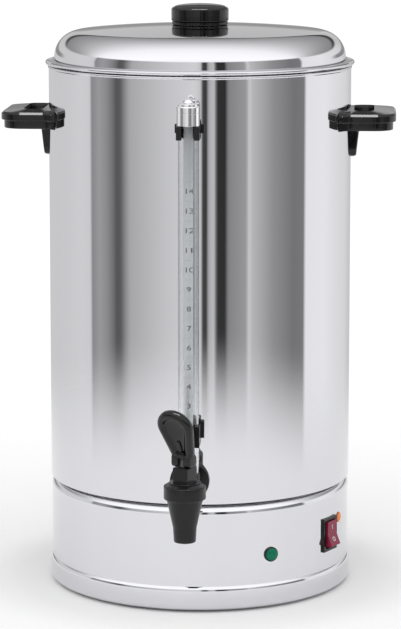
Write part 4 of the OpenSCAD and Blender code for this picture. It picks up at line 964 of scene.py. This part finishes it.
# Lever, in a frame at its pin with X along the pin and Z up
LEVER_JOINT = next(row for row in frame["record"]["behaviour"]["joints"] if row["name"] == "lever_pull")
LEVER_LEAN = 26
LEVER_L = 52 * MM
LEVER_NECK = 5 * MM
NECK_HALF_W = 10.8 * MM
NECK_RISE_SHARE = 0.45
PADDLE_R = 17 * MM
PADDLE_MID = LEVER_L - PADDLE_R
PADDLE_T = 8 * MM
PADDLE_DISH = 2.2 * MM
PADDLE_CORNER_R = 3 * MM
PADDLE_CORNER_MIN_R = 0.8 * MM
RIB_HALF_W = 1.9 * MM
RIB_LOW = 5 * MM
RIB_HIGH = 17 * MM
RIB_ROUND_SHARE = 0.95
CHEEK_IN = 2.8 * MM
CHEEK_OUT = 9.5 * MM
HOOD_Y = (-7.8 * MM, -5 * MM)
HOOD_Z = (2.3 * MM, 8 * MM)
HOOD_R = 1 * MM
HOOD_LAP = 1 * MM
# Sections as an inset and a place along the thickness, in mm: the paddle's from its back, round the rim
# and down into the dish, and the rib's from below the dish's floor
PADDLE_SECTIONS = (
    (3.0, 4.0), (1.7, 3.75), (0.7, 3.1), (0.15, 2.1), (0, 0.9), (0, -0.6), (0.3, -1.8), (1.0, -2.8),
    (2.0, -3.5), (3.2, -3.9), (4.2, -4.0), (5.2, -3.85), (6.0, -3.4), (6.6, -2.8), (7.2, -2.3),
    (7.9, -1.95), (8.8, -1.8),
)
RIB_SECTIONS = ((0, 0.5), (0, -0.7), (0.25, -1.15), (0.7, -1.4), (1.2, -1.5))
# One cheek seen from its side, in mm: its cam in front, its eye at the back and its arm above
CHEEK_CORNERS = (
    (-7.8, -6, 3.8), (5, -5.4, 4.8), (5, 3, 4), (-0.7, 9.6, 1), (-6.2, 6.4, 1), (-7.8, 3.6, 2),
)
# Sections of a cheek from its inner face to its outer one: a place along the pin, and an inset in mm
CHEEK_SECTIONS = (
    (CHEEK_IN, 0.4), (CHEEK_IN + 0.4 * MM, 0), (CHEEK_OUT - 1.4 * MM, 0), (CHEEK_OUT - 0.6 * MM, 0.25),
    (CHEEK_OUT - 0.15 * MM, 0.75), (CHEEK_OUT, 1.5),
)


def paddle_outline(inset):
    """The paddle's outline seen from its front, moved inwards."""
    radius = PADDLE_R - inset
    half = NECK_HALF_W - inset
    foot = LEVER_NECK + NECK_RISE_SHARE * inset
    lean = math.degrees(math.asin((radius - half) / (PADDLE_MID - LEVER_NECK)))
    corner = max(PADDLE_CORNER_MIN_R, PADDLE_CORNER_R - inset / 2)
    head = arc((0, PADDLE_MID), radius, radius, -lean, 180 + lean, 48)
    return fillet([(half, foot, corner), *head, (-half, foot, corner)])


def rib_outline(inset):
    half = RIB_HALF_W - inset
    low = LEVER_NECK + RIB_LOW + inset
    high = LEVER_NECK + RIB_HIGH - inset
    corners = ((half, low), (half, high), (-half, high), (-half, low))
    return fillet([(x, z, RIB_ROUND_SHARE * half) for x, z in corners])


def add_paddle(bm):
    """A thick rounded rim round a dish, with a rib in the dish, leaning from the pin."""
    lean = Matrix.Rotation(math.radians(LEVER_LEAN), 4, "X")
    floor = PADDLE_DISH - PADDLE_T / 2
    forms = ((paddle_outline, PADDLE_SECTIONS, 0), (rib_outline, RIB_SECTIONS, floor))
    for outline, sections, start in forms:
        loft(bm, [
            [lean @ Vector((x, start + y * MM, z)) for x, z in outline(inset * MM)]
            for inset, y in sections
        ])


def add_cheeks(bm):
    """Two cheeks on the pin, and a hood that joins them in front."""
    outline = fillet([tuple(value * MM for value in corner) for corner in CHEEK_CORNERS], steps=8)
    weights = [1] * len(outline)
    for side in (1, -1):
        loft(bm, [
            [(side * x, p.x, p.y) for p in shifted(outline, weights, inset * MM)]
            for x, inset in CHEEK_SECTIONS
        ])
    (front, back), (low, high) = HOOD_Y, HOOD_Z
    hood = fillet([(y, z, HOOD_R) for y, z in ((front, low), (back, low), (back, high), (front, high))])
    loft(bm, [[(x, y, z) for y, z in hood] for x in (-CHEEK_IN - HOOD_LAP, CHEEK_IN + HOOD_LAP)])


def make_lever():
    bm = bmesh.new()
    add_paddle(bm)
    add_cheeks(bm)
    axis = Vector(LEVER_JOINT["axis"])
    turn = Matrix.Rotation(math.atan2(axis.y, axis.x), 4, "Z")
    bmesh.ops.transform(bm, verts=bm.verts, matrix=Matrix.Translation(LEVER_JOINT["pos_m"]) @ turn)
    piece(bm, "tap_lever_paddle", MATERIALS["gloss_black"], "lever", ["tap_lever"],
          sharp=40)


# Lamps: each one's angle from the tap, height and radius, and how far its rim stands proud
READY_LAMP = (31, 50.5 * MM, 5.75 * MM)
READY_PROUD = 1.6 * MM
BREW_LAMP = (70.3, 68 * MM, 3.75 * MM)
BREW_PROUD = 0.25 * MM
BREW_COVER = 0.8 * MM
LAMP_RIM = 1 * MM
LAMP_SUNK = 0.6 * MM
LAMP_SEAT = 0.4 * MM
LENS_GAP = 0.05 * MM
LAMP_DOME = 0.19
LAMP_OUTER_ROUND = 0.4
LAMP_INNER_ROUND = 0.1


def make_lamp(kind, place, lens_slot, proud, cover):
    """A lamp's rim, which stands proud of the skirt, and its dome, which may cover part of the rim."""
    angle, height, radius = place
    at = facing(angle, height, SKIRT_R)
    bore = radius + LENS_GAP
    outer = radius + LAMP_RIM
    bm = bmesh.new()
    revolve(bm, fillet([
        (bore, -LAMP_SUNK), (outer, -LAMP_SUNK),
        (outer, proud, LAMP_OUTER_ROUND * proud), (bore, proud, LAMP_INNER_ROUND * proud),
    ]), LAMP_STEPS, at)
    piece(bm, f"{kind}_rim_ring", MATERIALS["black_plastic"], "urn", [f"{kind}_rim"])
    dome = LAMP_DOME * 2 * radius
    seat = proud + GAP if cover else LAMP_SEAT
    bm = bmesh.new()
    revolve(bm, [
        (0, seat), (radius + cover, seat), *arc((0, proud + 2 * GAP), radius + cover, dome, 0, 90, 16),
    ], LAMP_STEPS, at)
    piece(bm, f"{kind}_dome", MATERIALS[lens_slot], "urn", [f"{kind}_lens"])


# Switch
SWITCH_ANGLE = 62.2
SWITCH_Z = 56.6 * MM
ROCKER_AXIS = 1.5 * MM
ROCKER_TILT = math.radians(10)
ROCKER_MID = 4.6 * MM
ROCKER_RISE = math.radians(13.3)
ROCKER_MARK_AT = 5.6 * MM
ROCKER_MARK_H = 4.2 * MM
ROCKER_MARK_LIFT = 0.06 * MM


def make_rocker_marks():
    """The I and O on the two halves of the rocker."""
    switch = facing(SWITCH_ANGLE, SWITCH_Z, SKIRT_R - ROCKER_AXIS)
    rocker = switch @ Matrix.Rotation(-ROCKER_TILT, 4, "X")
    out = ROCKER_MID + ROCKER_MARK_AT * math.tan(ROCKER_RISE) + ROCKER_MARK_LIFT
    for name, mark, side in (("rocker_on_mark", "I", 1), ("rocker_off_mark", "O", -1)):
        half = rocker @ Matrix.Translation((0, side * ROCKER_MARK_AT, out))
        place = half @ Matrix.Rotation(side * ROCKER_RISE, 4, "X")
        text_piece(name, mark, ROCKER_MARK_H, place, MATERIALS["mark_white"], "rocker")


# Camera
CAMERA_TURN = 3.7
CAMERA_DISTANCE = 2.548
CAMERA_HEIGHT = 0.686
CAMERA_PITCH = 8.0
FOCAL_PX = 2756
IMAGE_PX = (401, 629)
PRINCIPAL_PX = (200.0, 230.8)
SENSOR_MM = 36


def make_camera():
    data = bpy.data.cameras.new("camera")
    data.sensor_width = SENSOR_MM
    data.lens = FOCAL_PX * SENSOR_MM / IMAGE_PX[1]
    data.shift_x = (IMAGE_PX[0] / 2 - PRINCIPAL_PX[0]) / IMAGE_PX[1]
    data.shift_y = (PRINCIPAL_PX[1] - IMAGE_PX[1] / 2) / IMAGE_PX[1]
    camera = add_object("camera", data)
    turn = math.radians(CAMERA_TURN)
    camera.location = (CAMERA_DISTANCE * math.sin(turn), -CAMERA_DISTANCE * math.cos(turn), CAMERA_HEIGHT)
    camera.rotation_euler = (math.radians(90 - CAMERA_PITCH), 0, turn)
    bpy.context.scene.camera = camera


# Floor, with the distances from the urn's axis between which its painted glow sets in; nearer the urn it
# has none, which paints a darker shadow round the foot
WHITE = (1, 1, 1, 1)
FLOOR_R = 1.4
FLOOR_Y = -0.2
FLOOR_SIDES = 128
FLOOR_PALE = (0.97, 0.97, 0.97, 1)
FLOOR_ROUGH = 0.6
FLOOR_FADE_R = 0.39 * FLOOR_R
PAINTED_GLOW_FROM = 0.16
PAINTED_GLOW_TO = 0.23
PAINTED_GLOW_LEVEL = 0.11


def make_floor():
    """A pale disc that fades out towards its edge, with a painted glow where the urn doesn't stand and a
    painted shadow round its foot where the glow is left out.
    """
    bm = bmesh.new()
    bmesh.ops.create_circle(bm, cap_ends=True, segments=FLOOR_SIDES, radius=FLOOR_R)
    mesh = bpy.data.meshes.new("floor")
    bm.to_mesh(mesh)
    bm.free()
    made = bpy.data.materials.new("pale_floor")
    made.use_nodes = True
    tree = made.node_tree
    shader = tree.nodes["Principled BSDF"]
    shader.inputs["Base Color"].default_value = FLOOR_PALE
    shader.inputs["Roughness"].default_value = FLOOR_ROUGH
    shader.inputs["Emission Color"].default_value = WHITE
    # Painted light: emission that whitens the floor away from the urn, left out round its foot so the
    # floor there is a painted shadow
    from_axis = distance(tree, "ShaderNodeNewGeometry", "Position")
    painted_glow = map_range(tree, from_axis, PAINTED_GLOW_FROM, PAINTED_GLOW_TO, high=PAINTED_GLOW_LEVEL)
    tree.links.new(painted_glow, shader.inputs["Emission Strength"])
    from_middle = distance(tree, "ShaderNodeTexCoord", "Object")
    fade = map_range(tree, from_middle, FLOOR_FADE_R, FLOOR_R, low=1.0, high=0.0)
    tree.links.new(fade, shader.inputs["Alpha"])
    mesh.materials.append(made)
    floor = add_object("floor", mesh)
    floor.location.y = FLOOR_Y


# Studio, in which a direction is a vector of length one
STUDIO_STRENGTH = 1.06
# Brightness of the walls by direction: degrees to the right of the camera, and level
STUDIO_WALL = (
    (-150, 0.70), (-102, 0.82), (-91.5, 0.80), (-89.5, 0.33), (-82, 0.43), (-75, 0.35), (-69, 0.22),
    (-66, 0.12), (-62, 0.14), (-58, 0.34), (-54, 0.52), (-24, 0.74), (-4, 0.84), (0.4, 0.74), (1.6, 0.07),
    (4.8, 0.05), (6.6, 0.58), (10.6, 0.66), (12.2, 0.04), (19.3, 0.035), (20.8, 0.30), (35, 0.42),
    (37, 0.78), (40, 0.62), (57, 0.36), (75, 0.23), (85.5, 0.25), (87, 1.03), (108, 1.05), (145, 0.82),
    (162, 0.60), (180, 0.54),
)
# Brightness overhead: degrees from the horizon behind the object, over the top, to the horizon in front
STUDIO_SKY = (
    (0, 0.54), (14.5, 0.54), (15.5, 0.05), (19.5, 0.06), (22, 0.30), (42, 0.46), (62, 0.66), (84, 0.95),
    (104, 1.20), (126, 1.30), (150, 1.35), (168, 1.15), (180, 0.95),
)
# Where the walls end and the sky begins, and how much higher the walls are in front than behind
WALL_TOP = (0.25, 0.32)
WALL_TILT = 0.03
# A grey screen stands low behind the object: its lower and upper edges, and its two sides
SCREEN_GREY = (0.3, 0.3, 0.3, 1)
SCREEN_LOW = (-0.02, 0.0)
SCREEN_HIGH = (0.06, 0.11)
SCREEN_SIDES = (0.6, 0.8)


def make_world():
    """A studio with light and dark walls and a soft light overhead; the camera itself sees plain white."""
    world = bpy.data.worlds.new("studio")
    world.use_nodes = True
    bpy.context.scene.world = world
    tree = world.node_tree
    background = tree.nodes["Background"]
    background.inputs["Strength"].default_value = STUDIO_STRENGTH
    place = add_node(tree, "ShaderNodeTexCoord")
    parts = add_node(tree, "ShaderNodeSeparateXYZ")
    tree.links.new(place.outputs["Generated"], parts.inputs[0])
    x, y, z = parts.outputs
    turn = maths(tree, "ARCTAN2", x, maths(tree, "MULTIPLY", y, -1.0))
    turn_share = maths(tree, "ADD", maths(tree, "DIVIDE", turn, 2 * math.pi), 0.5)
    stops = sorted((((angle + CAMERA_TURN + 180) % 360) / 360, level) for angle, level in STUDIO_WALL)
    wall = ramp(tree, turn_share, stops)
    rise_share = maths(tree, "DIVIDE", maths(tree, "ARCTAN2", z, y), math.pi)
    sky = ramp(tree, rise_share, [(angle / 180, level) for angle, level in STUDIO_SKY])
    band = maths(tree, "SUBTRACT", map_range(tree, z, *SCREEN_LOW), map_range(tree, z, *SCREEN_HIGH))
    screen = maths(tree, "MULTIPLY", band, map_range(tree, y, *SCREEN_SIDES))
    around = mix_colours(tree, screen, wall, SCREEN_GREY)
    height = maths(tree, "ADD", z, maths(tree, "MULTIPLY", y, WALL_TILT))
    studio = mix_colours(tree, map_range(tree, height, *WALL_TOP), around, sky)
    path = add_node(tree, "ShaderNodeLightPath")
    shown = mix_colours(tree, path.outputs["Is Camera Ray"], studio, WHITE)
    tree.links.new(shown, background.inputs["Color"])


# Soft light over the object, a little in front of it
SOFTBOX_SIZE = (1.0, 0.4)
SOFTBOX_WATTS = 18
SOFTBOX_AT = (0, -0.4, 1.75)
SOFTBOX_AIM = (0, -0.05, 0.45)
SOFTBOX_LIGHTS = ("gloss_black", "black_plastic", "scale_strip")
SOFTBOX_PASSES = ("clear_plastic", "sight_glass")


def make_softbox():
    """A soft light for the black parts and the gauge's scale alone, which clear parts don't stop."""
    data = bpy.data.lights.new("softbox", "AREA")
    data.shape = "RECTANGLE"
    data.size, data.size_y = SOFTBOX_SIZE
    data.energy = SOFTBOX_WATTS
    light = add_object("softbox", data)
    light.location = SOFTBOX_AT
    aim = Vector(SOFTBOX_AIM) - light.location
    light.rotation_euler = aim.to_track_quat("-Z", "Y").to_euler()
    lit = bpy.data.collections.new("lit_parts")
    solid = bpy.data.collections.new("solid_parts")
    lit_materials = [MATERIALS[name] for name in SOFTBOX_LIGHTS]
    clear_materials = [MATERIALS[name] for name in SOFTBOX_PASSES]
    for obj in bpy.context.scene.objects:
        if obj.type != "MESH":
            continue
        if obj.active_material in lit_materials:
            lit.objects.link(obj)
        if obj.active_material not in clear_materials:
            solid.objects.link(obj)
    light.light_linking.receiver_collection = lit
    light.light_linking.blocker_collection = solid


dress_cad_nodes()
make_tank()
make_plinth()
make_skirt()
make_lid()
make_knob()
make_handle("handle_right_loop", "handle_right", 1)
make_handle("handle_left_loop", "handle_left", -1)
make_gauge_cap()
make_gauge_tube("guard_tube", "gauge_guard", "clear_plastic", GUARD_HIGH.x - GUARD_T)
make_gauge_tube("sight_column", "gauge_sight_tube", "sight_glass", 0)
make_scale()
make_tap_body()
make_spring()
make_lever()
make_rocker_marks()
make_lamp("ready_lamp", READY_LAMP, "green_lens", READY_PROUD, 0)
make_lamp("brew_lamp", BREW_LAMP, "amber_lens", BREW_PROUD, BREW_COVER)
make_camera()
make_floor()
make_world()
make_softbox()
bpy.context.scene.view_settings.view_transform = "Standard"
